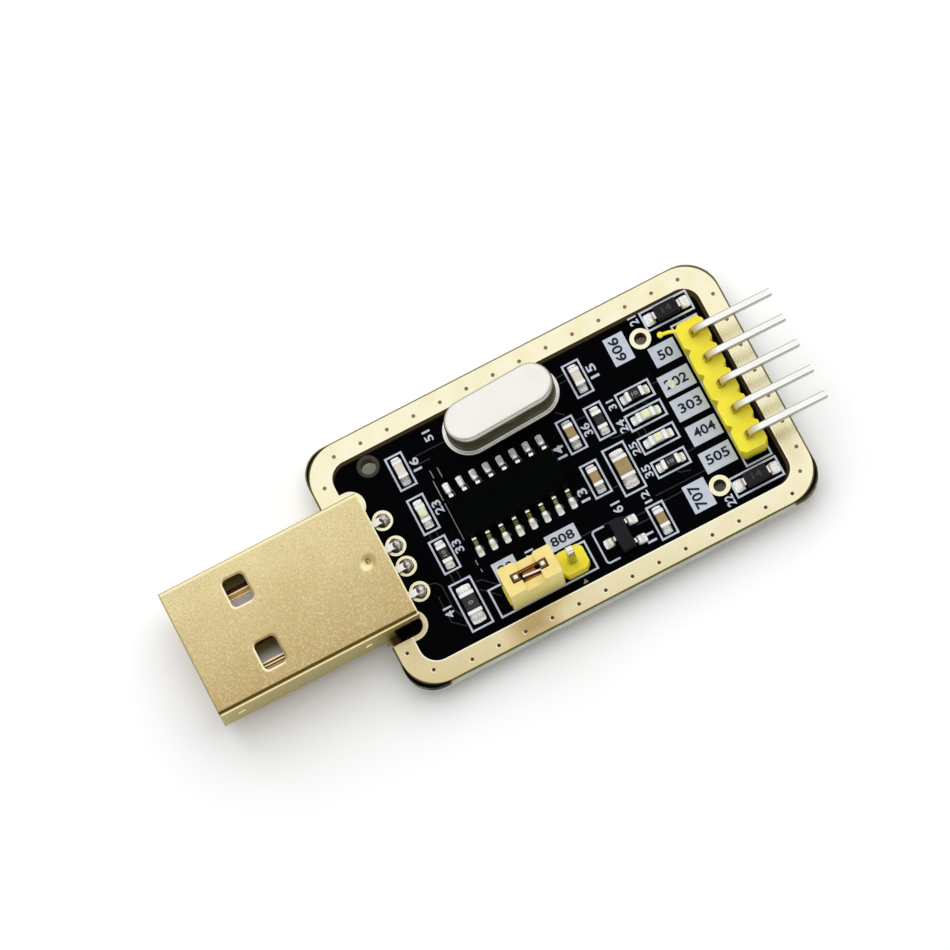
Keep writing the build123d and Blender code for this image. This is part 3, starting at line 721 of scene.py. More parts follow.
# Painted shade where the solder fills the notches, near black, then browner and olive towards the plug
NOTCH_PAINTED_SHADE = (
    Ramp("Z", -1.5, -1.499), Either(*(Patch((-2.7, y), (2.3, 1.4), 0.3, 0.05) for y in (5.9, -5.9))))
PLUG_SOLDER_LAYERS = (
    Layer((0.004, 0.0025, 0.0015), NOTCH_PAINTED_SHADE),
    Layer((0.075, 0.036, 0.014), (*NOTCH_PAINTED_SHADE, Band("X", -4.0, -3.3, 0.06))),
    Layer((0.14, 0.12, 0.05), (*NOTCH_PAINTED_SHADE, Ramp("X", -4.0, -3.999, 1.0, 0.0))))
LAMP_LAYERS = tuple(
    Layer((0.85, 0.74, 0.30), (Patch(place, (0.22, 0.22), 0.22, 0.06),))
    for place in ((3.33, 2.35), (24.03, 1.10), (24.05, -1.20)))
WINDOW_PLACE = (-13.65, 3.05)
WINDOW_HALF = (1.0, 1.3)
WINDOW_CORNER = 0.45
RING = 0.09
# The colours of the shell's painted highlights and painted shade
SHELL_PAINTED_HIGHLIGHT = (0.99, 0.91, 0.60)
SHELL_SHADE = (0.13, 0.09, 0.02)
SHELL_TOP = Facing(0.1, 0.25, downward=False)
SHELL_WALLS = Facing(0.2, 0.4, 1.0, 0.0)
# Painted shade as deeper gold towards the near side, dark and bright specks, painted highlight and shade
# lines at the folds and ends, painted shade on the near wall, painted shade and a highlight crescent on the
# punched dimple with a small dark mark in it, and the windows' painted rings and walls
SHELL_LAYERS = (
    Layer((0.50, 0.355, 0.14), (Ramp("Y", -6.5, 5.0, 0.9, 0.0),)),
    Layer((0.36, 0.25, 0.10), (Noise(6250.0, 3.0, 0.50, 0.68),), 0.34),
    Layer((1.0, 0.93, 0.70), (Noise(6250.0, 3.0, 0.50, 0.68, move=(0.01, 0.02, 0.03)),), 0.34),
    *(Layer(tint, (Band(axis, low, high), SHELL_TOP), strength) for axis, low, high, strength, tint in (
        ("Y", -5.86, -5.60, 0.95, SHELL_SHADE), ("Y", -6.15, -5.89, 0.95, (0.95, 0.87, 0.48)),
        ("Y", 5.60, 5.82, 0.8, SHELL_PAINTED_HIGHLIGHT), ("Y", 5.86, 6.15, 0.6, SHELL_SHADE),
        ("X", -19.95, -19.73, 0.5, SHELL_SHADE), ("X", -1.13, -0.9, 0.85, SHELL_PAINTED_HIGHLIGHT))),
    Layer((0.46, 0.385, 0.13), (SHELL_WALLS, Ramp("Y", -5.9, -5.8, 1.0, 0.0))),
    *(Layer(tint, (Patch(place, half, min(half), soft),), strength)
      for place, half, soft, strength, tint in (
          ((-2.68, 0.1), (0.62, 0.62), 0.12, 0.55, (0.36, 0.25, 0.07)),
          ((-3.04, -0.2), (0.5, 0.5), 0.14, 0.95, (1.0, 0.92, 0.52)),
          ((-2.74, 0.12), (0.36, 0.36), 0.12, 0.75, (0.48, 0.33, 0.09)),
          ((-2.78, 0.12), (0.17, 0.24), 0.05, 0.85, (0.10, 0.06, 0.012)),
          ((-2.75, 0.08), (0.04, 0.14), 0.03, 0.9, (0.90, 0.76, 0.30)))),
    *window_layers(1), *window_layers(-1))

FINISHES = {
    "board_mask": Finish(
        "finish_board_mask", MASK_BLACK, (0.0008, 0.0009, 0.0015), 0.22, specular=0.012,
        roughness_spread=0.04, patch_size=6.0, grain_size=0.4, relief=0.0015,
        layers=MASK_LAYERS),
    "gold_plating": Finish(
        "finish_gold_plating", (0.98, 0.93, 0.70), (0.94, 0.86, 0.57), 0.27, metallic=1.0,
        patch_size=1.6, grain_size=0.09, relief=0.003, edge=(0.97, 0.90, 0.70), edge_radius=0.05,
        layers=RIM_LAYERS),
    "white_ink": Finish(
        "finish_white_ink", (0.52, 0.565, 0.65), (0.45, 0.495, 0.575), 0.55, patch_size=0.5, grain_size=0.06,
        relief=0.004),
    "shell_gold": Finish(
        "finish_shell_gold", (0.84, 0.71, 0.38), (0.77, 0.63, 0.32), 0.40, metallic=1.0,
        roughness_spread=0.06, patch_size=3.5, grain_size=0.11, relief=0.012,
        edge=(0.97, 0.91, 0.70), edge_radius=0.1,
        layers=SHELL_LAYERS),
    "white_plastic": Finish(
        "finish_plug_insulator", (0.74, 0.69, 0.70), (0.68, 0.62, 0.62), 0.4, specular=0.3,
        edge=(0.80, 0.77, 0.76),
        layers=INSULATOR_LAYERS),
    # The contacts' gold is painted dark, as shade inside the shell
    "contact_gold": Finish(
        "finish_contact_gold", (0.42, 0.25, 0.07), (0.34, 0.19, 0.05), 0.24, metallic=1.0,
        patch_size=0.8, relief=0.003, edge=(0.98, 0.86, 0.52), edge_radius=0.06,
        layers=CONTACT_LAYERS),
    "solder": Finish(
        "finish_solder", (0.94, 0.94, 0.92), (0.66, 0.66, 0.62), 0.24, metallic=0.45, patch_size=0.22,
        grain_size=0.18, relief=0.03, roughness_spread=0.1),
    "tinned_metal": Finish(
        "finish_tinned_metal", (0.93, 0.93, 0.91), (0.82, 0.81, 0.77), 0.26, metallic=1.0,
        patch_size=0.6, grain_size=0.12, relief=0.006, edge=(0.98, 0.98, 0.97)),
    "crystal_metal": Finish(
        "finish_crystal_metal", (0.93, 0.91, 0.86), (0.88, 0.86, 0.80), 0.30, metallic=1.0, specular=0.0,
        patch_size=2.5, grain_size=0.07, relief=0.003, edge=(0.98, 0.97, 0.95),
        layers=CRYSTAL_LAYERS, dull=(CAN_SIDES,), dull_share=0.7),
    "black_moulding": Finish(
        "finish_black_moulding", (0.0005, 0.0010, 0.0008), (0.0010, 0.0016, 0.0014), 0.5, specular=0.015,
        grain_size=0.05, relief=0.006, edge=(0.004, 0.005, 0.005)),
    "grey_moulding": Finish(
        "finish_grey_moulding", (0.012, 0.012, 0.014), (0.008, 0.008, 0.010), 0.5, specular=0.1,
        grain_size=0.05, relief=0.006, edge=(0.03, 0.03, 0.034)),
    "header_yellow": Finish(
        "finish_header_yellow", (0.89, 0.78, 0.04), (0.82, 0.69, 0.02), 0.34, specular=0.35,
        subsurface=0.2, patch_size=1.4, grain_size=0.1, relief=0.004, edge=(0.95, 0.88, 0.16)),
    "cap_yellow": Finish(
        "finish_cap_yellow", (0.86, 0.71, 0.26), (0.81, 0.65, 0.21), 0.36, subsurface=0.2,
        patch_size=1.6, grain_size=0.12, relief=0.005, edge=(0.95, 0.84, 0.42)),
    "spring_copper": Finish(
        "finish_spring_copper", (0.34, 0.13, 0.032), (0.26, 0.085, 0.02), 0.26, metallic=1.0,
        patch_size=0.5, relief=0.004, edge=(0.70, 0.50, 0.30), edge_radius=0.04),
    "brown_ceramic": Finish(
        "finish_brown_ceramic", (0.34, 0.24, 0.10), (0.28, 0.19, 0.07), 0.5, patch_size=0.4,
        grain_size=0.05, relief=0.004, edge=(0.5, 0.38, 0.22)),
    "cream_ceramic": Finish(
        "finish_cream_ceramic", (0.72, 0.66, 0.57), (0.64, 0.58, 0.49), 0.5, patch_size=0.4,
        grain_size=0.05, relief=0.004, edge=(0.8, 0.75, 0.68)),
    "black_glaze": Finish(
        "finish_black_glaze", (0.012, 0.012, 0.014), (0.02, 0.02, 0.022), 0.3, specular=0.3,
        patch_size=0.4, grain_size=0.06, edge=(0.10, 0.10, 0.10), edge_radius=0.04),
    "led_resin": Finish(
        "finish_led_resin", (0.72, 0.78, 0.68), (0.60, 0.68, 0.58), 0.22, subsurface=0.3, coat=0.3,
        patch_size=0.3, grain_size=0.1, edge=(0.88, 0.93, 0.86),
        layers=LAMP_LAYERS),
}
FIGURE_BLACK = Finish(
    "finish_figure_black", (0.008, 0.010, 0.016), (0.016, 0.018, 0.026), 0.35, specular=0.1,
    patch_size=0.3, grain_size=0.06)
FIGURE_GREY = Finish(
    "finish_figure_grey", (0.30, 0.30, 0.30), (0.20, 0.20, 0.20), 0.5, specular=0.2,
    patch_size=0.2, grain_size=0.05)
FIGURE_DIM = Finish(
    "finish_figure_dim", (0.060, 0.055, 0.068), (0.035, 0.032, 0.040), 0.5, specular=0.1,
    patch_size=0.2, grain_size=0.05)
# Grey lines painted as reflections of the chip's leads on the mask
PAD_GLINT = Finish(
    "finish_pad_glint", (0.16, 0.16, 0.15), (0.07, 0.07, 0.065), 0.4, specular=0.3,
    patch_size=0.25, grain_size=0.05)
VIA_FILL = Finish(
    "finish_via_fill", (0.27, 0.20, 0.09), (0.20, 0.14, 0.055), 0.45, specular=0.2,
    patch_size=0.2, grain_size=0.06)
# Painted shade in the near holes, and a painted highlight on their lips
VIA_PAINTED_SHADE = Finish(
    "finish_via_painted_shade", (0.050, 0.024, 0.008), (0.10, 0.055, 0.018), 0.5, specular=0.2,
    patch_size=0.2, grain_size=0.06)
VIA_LIP_HIGHLIGHT = Finish(
    "finish_via_lip_highlight", (1.0, 0.95, 0.76), (0.95, 0.88, 0.66), 0.3, metallic=1.0,
    patch_size=0.3, grain_size=0.06, relief=0.001)
# A ring of painted shadow round each solder mound on the plug's tails
TAIL_SHADOW_RING = Finish(
    "finish_tail_shadow_ring", (0.035, 0.026, 0.014), (0.10, 0.08, 0.05), 0.35, specular=0.3,
    patch_size=0.15, grain_size=0.06)
TAIL_SOLDER = Finish(
    "finish_tail_solder", (0.92, 0.91, 0.88), (0.46, 0.44, 0.40), 0.2, metallic=0.8,
    patch_size=0.16, grain_size=0.1, relief=0.02)
BAR_METAL = Finish(
    "finish_bar_metal", (0.93, 0.92, 0.88), (0.80, 0.77, 0.70), 0.3, metallic=1.0,
    patch_size=0.3, relief=0.002)
PLUG_SOLDER = Finish(
    "finish_plug_solder", (0.92, 0.92, 0.91), (0.76, 0.75, 0.71), 0.22, metallic=1.0, specular=0.03,
    patch_size=0.35, grain_size=0.18, relief=0.03, roughness_spread=0.1,
    layers=PLUG_SOLDER_LAYERS, dull=NOTCH_PAINTED_SHADE)
HEADER_PINS = Finish(
    "finish_header_pins", (0.97, 0.97, 0.94), (0.92, 0.91, 0.86), 0.24, metallic=1.0,
    patch_size=1.5, grain_size=0.2, relief=0.002,
    layers=HEADER_PIN_LAYERS)
JUMPER_PINS = Finish(
    "finish_jumper_pins", (0.95, 0.94, 0.90), (0.86, 0.84, 0.78), 0.26, metallic=1.0,
    patch_size=0.6, grain_size=0.12, relief=0.004,
    layers=JUMPER_PIN_LAYERS)
CHIP_LEADS = Finish(
    "finish_chip_leads", (0.95, 0.95, 0.93), (0.84, 0.83, 0.79), 0.24, metallic=1.0,
    patch_size=0.5, grain_size=0.12, relief=0.006,
    layers=CHIP_LEAD_LAYERS)
DIODE_MOULD = Finish(
    "finish_diode_mould", (0.010, 0.009, 0.011), (0.016, 0.014, 0.017), 0.45, specular=0.1,
    grain_size=0.05, relief=0.006, edge=(0.05, 0.047, 0.055))
TRACE_MASK = Finish(
    "finish_trace_mask", (0.030, 0.032, 0.036), (0.012, 0.013, 0.016), 0.3, specular=0.15,
    patch_size=0.8, grain_size=0.1)
GLASS_FIBRE = Finish(
    "finish_glass_fibre", (0.72, 0.75, 0.70), (0.55, 0.58, 0.52), 0.4, specular=0.4,
    patch_size=0.3, grain_size=0.05)
FLUX_SMEAR = Finish(
    "finish_flux_smear", (0.74, 0.70, 0.60), (0.55, 0.50, 0.40), 0.3, specular=0.5,
    patch_size=0.25, grain_size=0.08, relief=0.02)

SLOT_OF = {name: node.material_slots[0].material.name for name, node in frame["nodes"].items()}
BODY_OF = {name: node["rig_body"] for name, node in frame["nodes"].items()}
NODE_FINISHES = {
    "usb_solder": PLUG_SOLDER, "header_pins": HEADER_PINS, "jumper_pins": JUMPER_PINS,
    "chip_leads": CHIP_LEADS, "diode_1_body": DIODE_MOULD, "diode_2_body": DIODE_MOULD}


def finish_of(node: str) -> Finish:
    """The finish of a node: its own, or else its slot's."""
    return NODE_FINISHES.get(node, FINISHES[SLOT_OF[node]])


def clothe(piece: Piece, finish: Finish) -> Piece:
    """Gives a piece one finish.

    Args:
        piece: The piece, or a node of the frame.
        finish: What it wears.

    Returns:
        The piece.
    """
    material = finish.build()
    if piece.material_slots:
        for slot in piece.material_slots:
            slot.material = material
    else:
        piece.data.materials.append(material)
    return piece


def linked(name: str, data: bpy.types.ID) -> Piece:
    """A new object in the scene."""
    made = bpy.data.objects.new(name, data)
    bpy.context.scene.collection.objects.link(made)
    return made


def plain_mesh(
    name: str, points: Sequence[Any], faces: Sequence[Any] = (), edges: Sequence[Any] = (),
) -> Mesh:
    """A mesh of these points, faces and edges."""
    mesh = bpy.data.meshes.new(name)
    mesh.from_pydata(points, edges, faces)
    return mesh


def made_mesh(name: str, work: bmesh.types.BMesh) -> Mesh:
    """The mesh of finished work, which is then freed."""
    mesh = bpy.data.meshes.new(name)
    work.to_mesh(mesh)
    work.free()
    return mesh


def smoothed(mesh: Mesh) -> Mesh:
    """The same mesh, with smooth shading."""
    for polygon in mesh.polygons:
        polygon.use_smooth = True
    return mesh


def baked(carrier: Piece) -> Mesh:
    """The plain mesh that a carrier object makes; the carrier goes."""
    graph = bpy.context.evaluated_depsgraph_get()
    mesh = bpy.data.meshes.new_from_object(carrier.evaluated_get(graph))
    bpy.data.objects.remove(carrier)
    return mesh


def settle(piece: Piece) -> Piece:
    """Turns a piece's modifiers into plain mesh.

    Args:
        piece: The piece, with its modifiers.

    Returns:
        The piece, with the finished mesh and no modifier.
    """
    graph = bpy.context.evaluated_depsgraph_get()
    mesh = bpy.data.meshes.new_from_object(
        piece.evaluated_get(graph), preserve_all_data_layers=True, depsgraph=graph)
    piece.modifiers.clear()
    piece.data = mesh
    return piece


def place_piece(
    name: str, mesh: Mesh, finish: Finish, body: str = MODULE,
) -> Piece:
    """Puts a finished mesh in the scene as a piece that rides on a body.

    Args:
        name: The piece's name.
        mesh: Its mesh, in place in the frame.
        finish: What it wears.
        body: The body it moves with.

    Returns:
        The new piece.
    """
    mesh.materials.clear()
    piece = clothe(linked(name, mesh), finish)
    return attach(piece, body)


def merged_copy(node: str) -> Mesh:
    """A copy of a node's mesh whose loose triangles are joined into flat faces.

    Args:
        node: The node's name.

    Returns:
        The joined mesh.
    """
    work = bmesh.new()
    work.from_mesh(frame["nodes"][node].data)
    bmesh.ops.remove_doubles(work, verts=work.verts, dist=MERGE_DISTANCE)
    bmesh.ops.dissolve_limit(
        work, angle_limit=math.radians(FLAT_ANGLE), verts=list(work.verts), edges=list(work.edges))
    return made_mesh(f"{node}_mesh", work)


@dataclass
class SoftenedNodes:
    """The frame's hard parts again with small rounded edges, so that their edges catch light."""

    radii: dict[str, float] = field(default_factory=lambda: {
        "usb_shell": 0.12, "usb_insulator": 0.08, "usb_contact": 0.04, "usb_solder": 0.05,
        "crystal_can": 0.09, "chip_body": 0.07, "chip_leads": 0.05, "regulator_body": 0.06,
        "regulator_leads": 0.05, "header_block": 0.1, "header_pins": 0.06, "jumper_block": 0.1,
        "jumper_pins": 0.06, "jumper_cap": 0.14, "jumper_contact": 0.04, "through_hole_solder": 0.08,
        "_body": 0.05, "_terminals": 0.05, "_leads": 0.04,
    })
    segments: int = 2
    corner_angle: float = 35.0
    flat_weight: int = 100

    def radius_of(self, node: str) -> float | None:
        """The edge radius of a node, or None where it stays as it is.

        Args:
            node: The node's name.

        Returns:
            The radius in millimetres.
        """
        for key, radius in self.radii.items():
            if node.startswith(key) or (key.startswith("_") and node.endswith(key)):
                return radius
        return None

    def build(self) -> list[Piece]:
        """Makes a softened copy of each node that has an edge radius.

        Returns:
            The new pieces.
        """
        return [
            self.soften(node, radius) for node in sorted(frame["nodes"])
            if (radius := self.radius_of(node)) is not None]

    def soften(self, node: str, radius: float) -> Piece:
        """Makes one softened copy, which stands for its node.

        Args:
            node: The node's name.
            radius: The edge radius in millimetres.

        Returns:
            The new piece.
        """
        piece = place_piece(f"{node}_softened", merged_copy(node), finish_of(node), BODY_OF[node])
        smoothed(piece.data)
        bevel = piece.modifiers.new("edges", "BEVEL")
        bevel.width = radius * MM
        bevel.segments = self.segments
        bevel.limit_method = "ANGLE"
        bevel.angle_limit = math.radians(self.corner_angle)
        weighted = piece.modifiers.new("flat_faces", "WEIGHTED_NORMAL")
        weighted.weight = self.flat_weight
        settle(piece)
        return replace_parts(piece, node)


@dataclass
class SolderFeet:
    """Solder at the ends of the surface parts: a wetted pad that climbs the metal in a hollow curve."""

    film: float = 0.035
    climb: float = 2.1
    long_steps: int = 12
    cross_steps: int = 8
    chip_place: Place = (10.58, 0.32)
    chip_half: float = 1.95
    chip_reach: float = 1.05
    chip_pitch: float = 1.27
    regulator: Place = (17.45, -7.38)
    two_ended: tuple[tuple[float, float, int, float, float, float, float], ...] = (
        (21.03, -7.70, 90, 0.80, 0.80, 0.66, 0.52), (17.70, -1.85, 90, 0.80, 0.80, 0.66, 0.52),
        (17.65, 2.58, 90, 0.80, 0.80, 0.66, 0.52), (20.38, 6.73, 90, 0.80, 0.80, 0.66, 0.52),
        (3.33, 6.60, 90, 0.80, 0.80, 0.66, 0.52), (20.25, -2.18, 90, 1.00, 1.25, 0.70, 0.80),
        (24.03, 3.15, 0, 0.80, 0.80, 0.38, 0.52), (3.33, -1.65, 90, 0.80, 0.80, 0.38, 0.52),
        (24.00, -3.58, 0, 0.80, 0.80, 0.38, 0.52), (20.33, 2.55, 90, 0.80, 0.80, 0.38, 0.52),
        (3.38, -6.53, 90, 1.00, 1.25, 0.46, 0.80), (3.33, 2.35, 90, 0.80, 0.80, 0.34, 0.56),
        (24.03, 1.10, 0, 0.80, 0.80, 0.34, 0.56), (24.05, -1.20, 0, 0.80, 0.80, 0.34, 0.56),
    )
    diodes: tuple[Place, ...] = ((29.83, 8.45), (29.83, -8.12))
    diode_half: float = 1.6
    regulator_half: float = 1.25
    regulator_leads: tuple[Place, ...] = ((0.0, math.pi), (0.95, 0.0), (-0.95, 0.0))
    chip_count: int = 8
    under: float = 0.3
    width_share: float = 1.04
    # How far a foot runs back and out, its width and its height
    diode_foot: Span = (0.42, 0.52, 1.12, 0.27)
    chip_foot: Span = (0.42, 0.62, 0.60, 0.25)
    regulator_foot: Span = (0.42, 0.52, 0.86, 0.30)
    roundness: float = 0.22
    rim_power: int = 6
    rim_height: float = 0.25
    sharp_angle: float = 60.0

    def feet(self) -> Iterable[tuple[Vector, float, float, float, float, float]]:
        """Each foot: its place, the way it points in radians, its runs back and out, its width and height.

        Returns:
            The feet of every surface part.
        """
        for x, y, turn, half, width, height, reach in self.two_ended:
            for side in (0, 180):
                outward = math.radians(turn + side)
                middle = Vector((x + half * math.cos(outward), y + half * math.sin(outward)))
                yield middle, outward, self.under, reach, width * self.width_share, height
        for x, y in self.diodes:
            for side in (0, 180):
                outward = math.radians(side)
                yield Vector((x + self.diode_half * math.cos(outward), y)), outward, *self.diode_foot
        for row in (1, -1):
            for step in range(self.chip_count):
                x = self.chip_place[0] + self.chip_pitch * (step - (self.chip_count - 1) / 2)
                y = self.chip_place[1] + row * (self.chip_half + self.chip_reach)
                yield Vector((x, y)), row * math.pi / 2, *self.chip_foot
        x, y = self.regulator
        for offset, outward in self.regulator_leads:
            place = Vector((x + self.regulator_half * math.cos(outward), y + offset))
            yield place, outward, *self.regulator_foot

    def foot(
        self, work: bmesh.types.BMesh, place: Vector, outward: float, under: float, reach: float,
        width: float, height: float,
    ) -> None:
        """Adds one foot as a closed mound on a rounded pad.

        Args:
            work: The mesh that takes it.
            place: Where the metal's end face meets the pad.
            outward: The way the foot points, in radians.
            under: How far it runs back under the metal.
            reach: How far it runs out.
            width: Its width.
            height: How high it climbs.
        """
        along = Vector((math.cos(outward), math.sin(outward)))
        across = Vector((-along.y, along.x))
        middle, half = (reach - under) / 2, (reach + under) / 2
        top, base = [], []
        for i in range(self.long_steps + 1):
            a = 2 * i / self.long_steps - 1
            for j in range(self.cross_steps + 1):
                b = 2 * j / self.cross_steps - 1
                u = middle + half * a * math.sqrt(1 - self.roundness * b * b)
                v = width / 2 * b * math.sqrt(1 - self.roundness * a * a)
                fall = max(0.0, min(1.0, u / reach))
                rim = 1 - max(abs(a), abs(b)) ** self.rim_power
                rise = self.film + (height - self.film) * (1 - fall) ** self.climb
                z = rise * (self.rim_height + (1 - self.rim_height) * rim)
                spot = place + along * u + across * v
                top.append(work.verts.new(at(spot.x, spot.y, z)))
                base.append(work.verts.new(at(spot.x, spot.y, 0.0)))
        row = self.cross_steps + 1
        for i in range(self.long_steps):
            for j in range(self.cross_steps):
                corner = i * row + j
                ring = [corner, corner + row, corner + row + 1, corner + 1]
                work.faces.new([top[k] for k in ring])
                work.faces.new([base[k] for k in reversed(ring)])
        edge = (
            list(range(row)) + [i * row + row - 1 for i in range(1, self.long_steps + 1)]
            + [self.long_steps * row + j for j in range(row - 2, -1, -1)]
            + [i * row for i in range(self.long_steps - 1, 0, -1)])
        for first, second in zip(edge, edge[1:] + edge[:1]):
            work.faces.new([top[first], top[second], base[second], base[first]])

    def build(self) -> Piece:
        """Makes every foot as one piece, which stands for the solder node.

        Returns:
            The new piece.
        """
        work = bmesh.new()
        for foot in self.feet():
            self.foot(work, *foot)
        bmesh.ops.recalc_face_normals(work, faces=work.faces)
        mesh = smoothed(made_mesh("solder_feet", work))
        mesh.set_sharp_from_angle(angle=math.radians(self.sharp_angle))
        piece = place_piece("solder_feet", mesh, FINISHES["solder"])
        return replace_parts(piece, "pad_solder")


class Reading(Enum):
    """Which way figures read on the board."""

    ALONG = 0
    UPWARDS = 90


def figure_mesh(figures: str, span: Span, reading: Reading, level: float, thickness: float) -> Mesh:
    """Plain figures as a thin solid that fills a rectangle of the board.

    Args:
        figures: The digits.
        span: The rectangle's two x and two y values, in board millimetres.
        reading: Which way the figures read.
        level: The height that they stand on.
        thickness: How thick they are.

    Returns:
        The mesh, in place.
    """
    curve = bpy.data.curves.new("figures", "FONT")
    curve.body = figures
    curve.extrude = FIGURE_DEPTH
    curve.offset = FIGURE_WEIGHT
    curve.resolution_u = FIGURE_STEPS
    mesh = baked(linked("figures", curve))
    mesh.transform(Matrix.Rotation(math.radians(reading.value), 4, "Z"))
    lows = [min(vertex.co[axis] for vertex in mesh.vertices) for axis in range(3)]
    highs = [max(vertex.co[axis] for vertex in mesh.vertices) for axis in range(3)]
    wanted = (span[1] - span[0], span[3] - span[2], thickness)
    scale = [wanted[axis] * MM / (highs[axis] - lows[axis]) for axis in range(3)]
    corner = at(span[0], span[2], level)
    for vertex in mesh.vertices:
        vertex.co = [corner[axis] + (vertex.co[axis] - lows[axis]) * scale[axis] for axis in range(3)]
    return mesh


def joined(name: str, meshes: Iterable[Mesh]) -> Mesh:
    """Several meshes as one.

    Args:
        name: The new mesh's name.
        meshes: The meshes to join.

    Returns:
        The joined mesh.
    """
    work = bmesh.new()
    for mesh in meshes:
        work.from_mesh(mesh)
    return made_mesh(name, work)


@dataclass
class PartNumbers:
    """White numbers beside the parts, and black ones in the filled label boxes."""

    ink: float = 0.02
    box_ink: float = 0.01
    beside: tuple[tuple[str, Span], ...] = (
        ("16", (4.3, 5.1, 6.0, 7.2)), ("23", (4.3, 5.1, 1.7, 2.95)), ("33", (4.25, 5.05, -2.1, -0.9)),
        ("41", (1.0, 1.8, -6.8, -5.8)), ("51", (6.4, 7.15, 7.8, 8.8)), ("15", (21.4, 22.2, 6.1, 7.4)),
        ("36", (18.6, 19.4, 1.8, 2.95)), ("14", (15.65, 16.55, 1.1, 2.3)),
        ("13", (15.7, 16.55, -3.2, -2.0)), ("12", (20.4, 21.1, -5.8, -4.7)),
        ("31", (21.5, 22.2, 2.85, 3.75)), ("24", (21.45, 22.2, 0.6, 1.8)),
        ("25", (21.5, 22.2, -1.65, -0.45)), ("35", (21.5, 22.25, -3.9, -2.75)),
        ("21", (26.5, 27.3, 8.6, 9.4)), ("22", (26.5, 27.3, -9.4, -8.4)), ("61", (17.7, 18.6, -5.4, -4.4)),
        ("11", (19.05, 19.9, -9.0, -8.1)), ("71", (9.4, 10.2, -5.55, -4.65)),
    )
    boxed_along: tuple[tuple[str, Span], ...] = (
        ("50", (27.35, 28.7, 4.75, 5.65)), ("202", (26.65, 28.75, 2.15, 3.05)),
        ("303", (26.75, 28.85, -0.25, 0.65)), ("404", (26.85, 28.85, -2.75, -1.85)),
        ("505", (26.7, 28.85, -5.35, -4.45)), ("808", (11.75, 13.9, -5.5, -4.65)),
        ("90", (6.7, 8.1, -5.55, -4.7)),
    )
    boxed_up: tuple[tuple[str, Span], ...] = (
        ("606", (24.05, 25.0, 6.3, 8.5)), ("707", (24.1, 25.1, -8.35, -6.2)),
    )

    def build(self) -> list[Piece]:
        """Makes the white numbers and the black ones.

        Returns:
            The two pieces.
        """
        white = [figure_mesh(*mark, Reading.UPWARDS, 0.0, self.ink) for mark in self.beside]
        black = [figure_mesh(*mark, Reading.ALONG, self.ink, self.box_ink) for mark in self.boxed_along]
        black += [figure_mesh(*mark, Reading.UPWARDS, self.ink, self.box_ink) for mark in self.boxed_up]
        return [
            place_piece("part_numbers", joined("part_numbers", white), FINISHES["white_ink"]),
            place_piece("box_numbers", joined("box_numbers", black), FIGURE_BLACK)]


@dataclass
class PartMarks:
    """Small grey figures on top of the chip resistors and the link, and dim ones on the diodes."""

    chip_marks: tuple[tuple[str, Span, Reading, float], ...] = (
        ("10", (23.75, 24.3, 3.0, 3.32), Reading.ALONG, 0.53),
        ("10", (23.72, 24.28, -3.74, -3.42), Reading.ALONG, 0.53),
        ("10", (3.16, 3.5, -1.92, -1.38), Reading.UPWARDS, 0.53),
        ("0", (3.15, 3.61, -6.68, -6.38), Reading.UPWARDS, 0.63),
    )
    diode_marks: tuple[tuple[str, Span, Reading, float], ...] = (
        ("14", (29.4, 30.3, 8.15, 8.75), Reading.ALONG, 1.0),
        ("14", (29.4, 30.3, -8.42, -7.82), Reading.ALONG, 1.0),
    )
    thickness: float = 0.008

    def piece(
        self, name: str, marks: Iterable[tuple[str, Span, Reading, float]], finish: Finish,
    ) -> Piece:
        """Makes one set of marks.

        Args:
            name: The piece's name.
            marks: The figures, with their rectangle, direction and level.
            finish: What they wear.

        Returns:
            The new piece.
        """
        meshes = [figure_mesh(*mark, self.thickness) for mark in marks]
        return place_piece(name, joined(name, meshes), finish)

    def build(self) -> list[Piece]:
        """Makes both sets of marks."""
        return [
            self.piece("part_marks", self.chip_marks, FIGURE_GREY),
            self.piece("diode_marks", self.diode_marks, FIGURE_DIM)]


def geometry_tree(name: str, inputs: dict[str, str]) -> Graph:
    """A new geometry tree's graph, with a geometry input, named inputs, a material and a geometry output.

    Args:
        name: The tree's name.
        inputs: The kinds of its own inputs, by name.

    Returns:
        The graph, still without nodes.
    """
    graph = Graph(bpy.data.node_groups.new(name, "GeometryNodeTree"))
    for title, kind in {"Geometry": GEOMETRY, **inputs, "Material": "NodeSocketMaterial"}.items():
        graph.tree.interface.new_socket(name=title, in_out="INPUT", socket_type=kind)
    graph.tree.interface.new_socket(name="Geometry", in_out="OUTPUT", socket_type=GEOMETRY)
    return graph


def closed_tree(graph: Graph, ins: Any, geometry: Socket) -> bpy.types.NodeTree:
    """Ends a geometry tree in plain mesh that has its material.

    Args:
        graph: The tree's graph.
        ins: The outputs of its input node.
        geometry: What it has made.

    Returns:
        The finished tree.
    """
    real = graph.add("GeometryNodeRealizeInstances", {0: geometry}).outputs[0]
    dressed = graph.add("GeometryNodeSetMaterial", {"Geometry": real, "Material": ins["Material"]}).outputs[0]
    graph.add("NodeGroupOutput", {0: dressed})
    return graph.tree


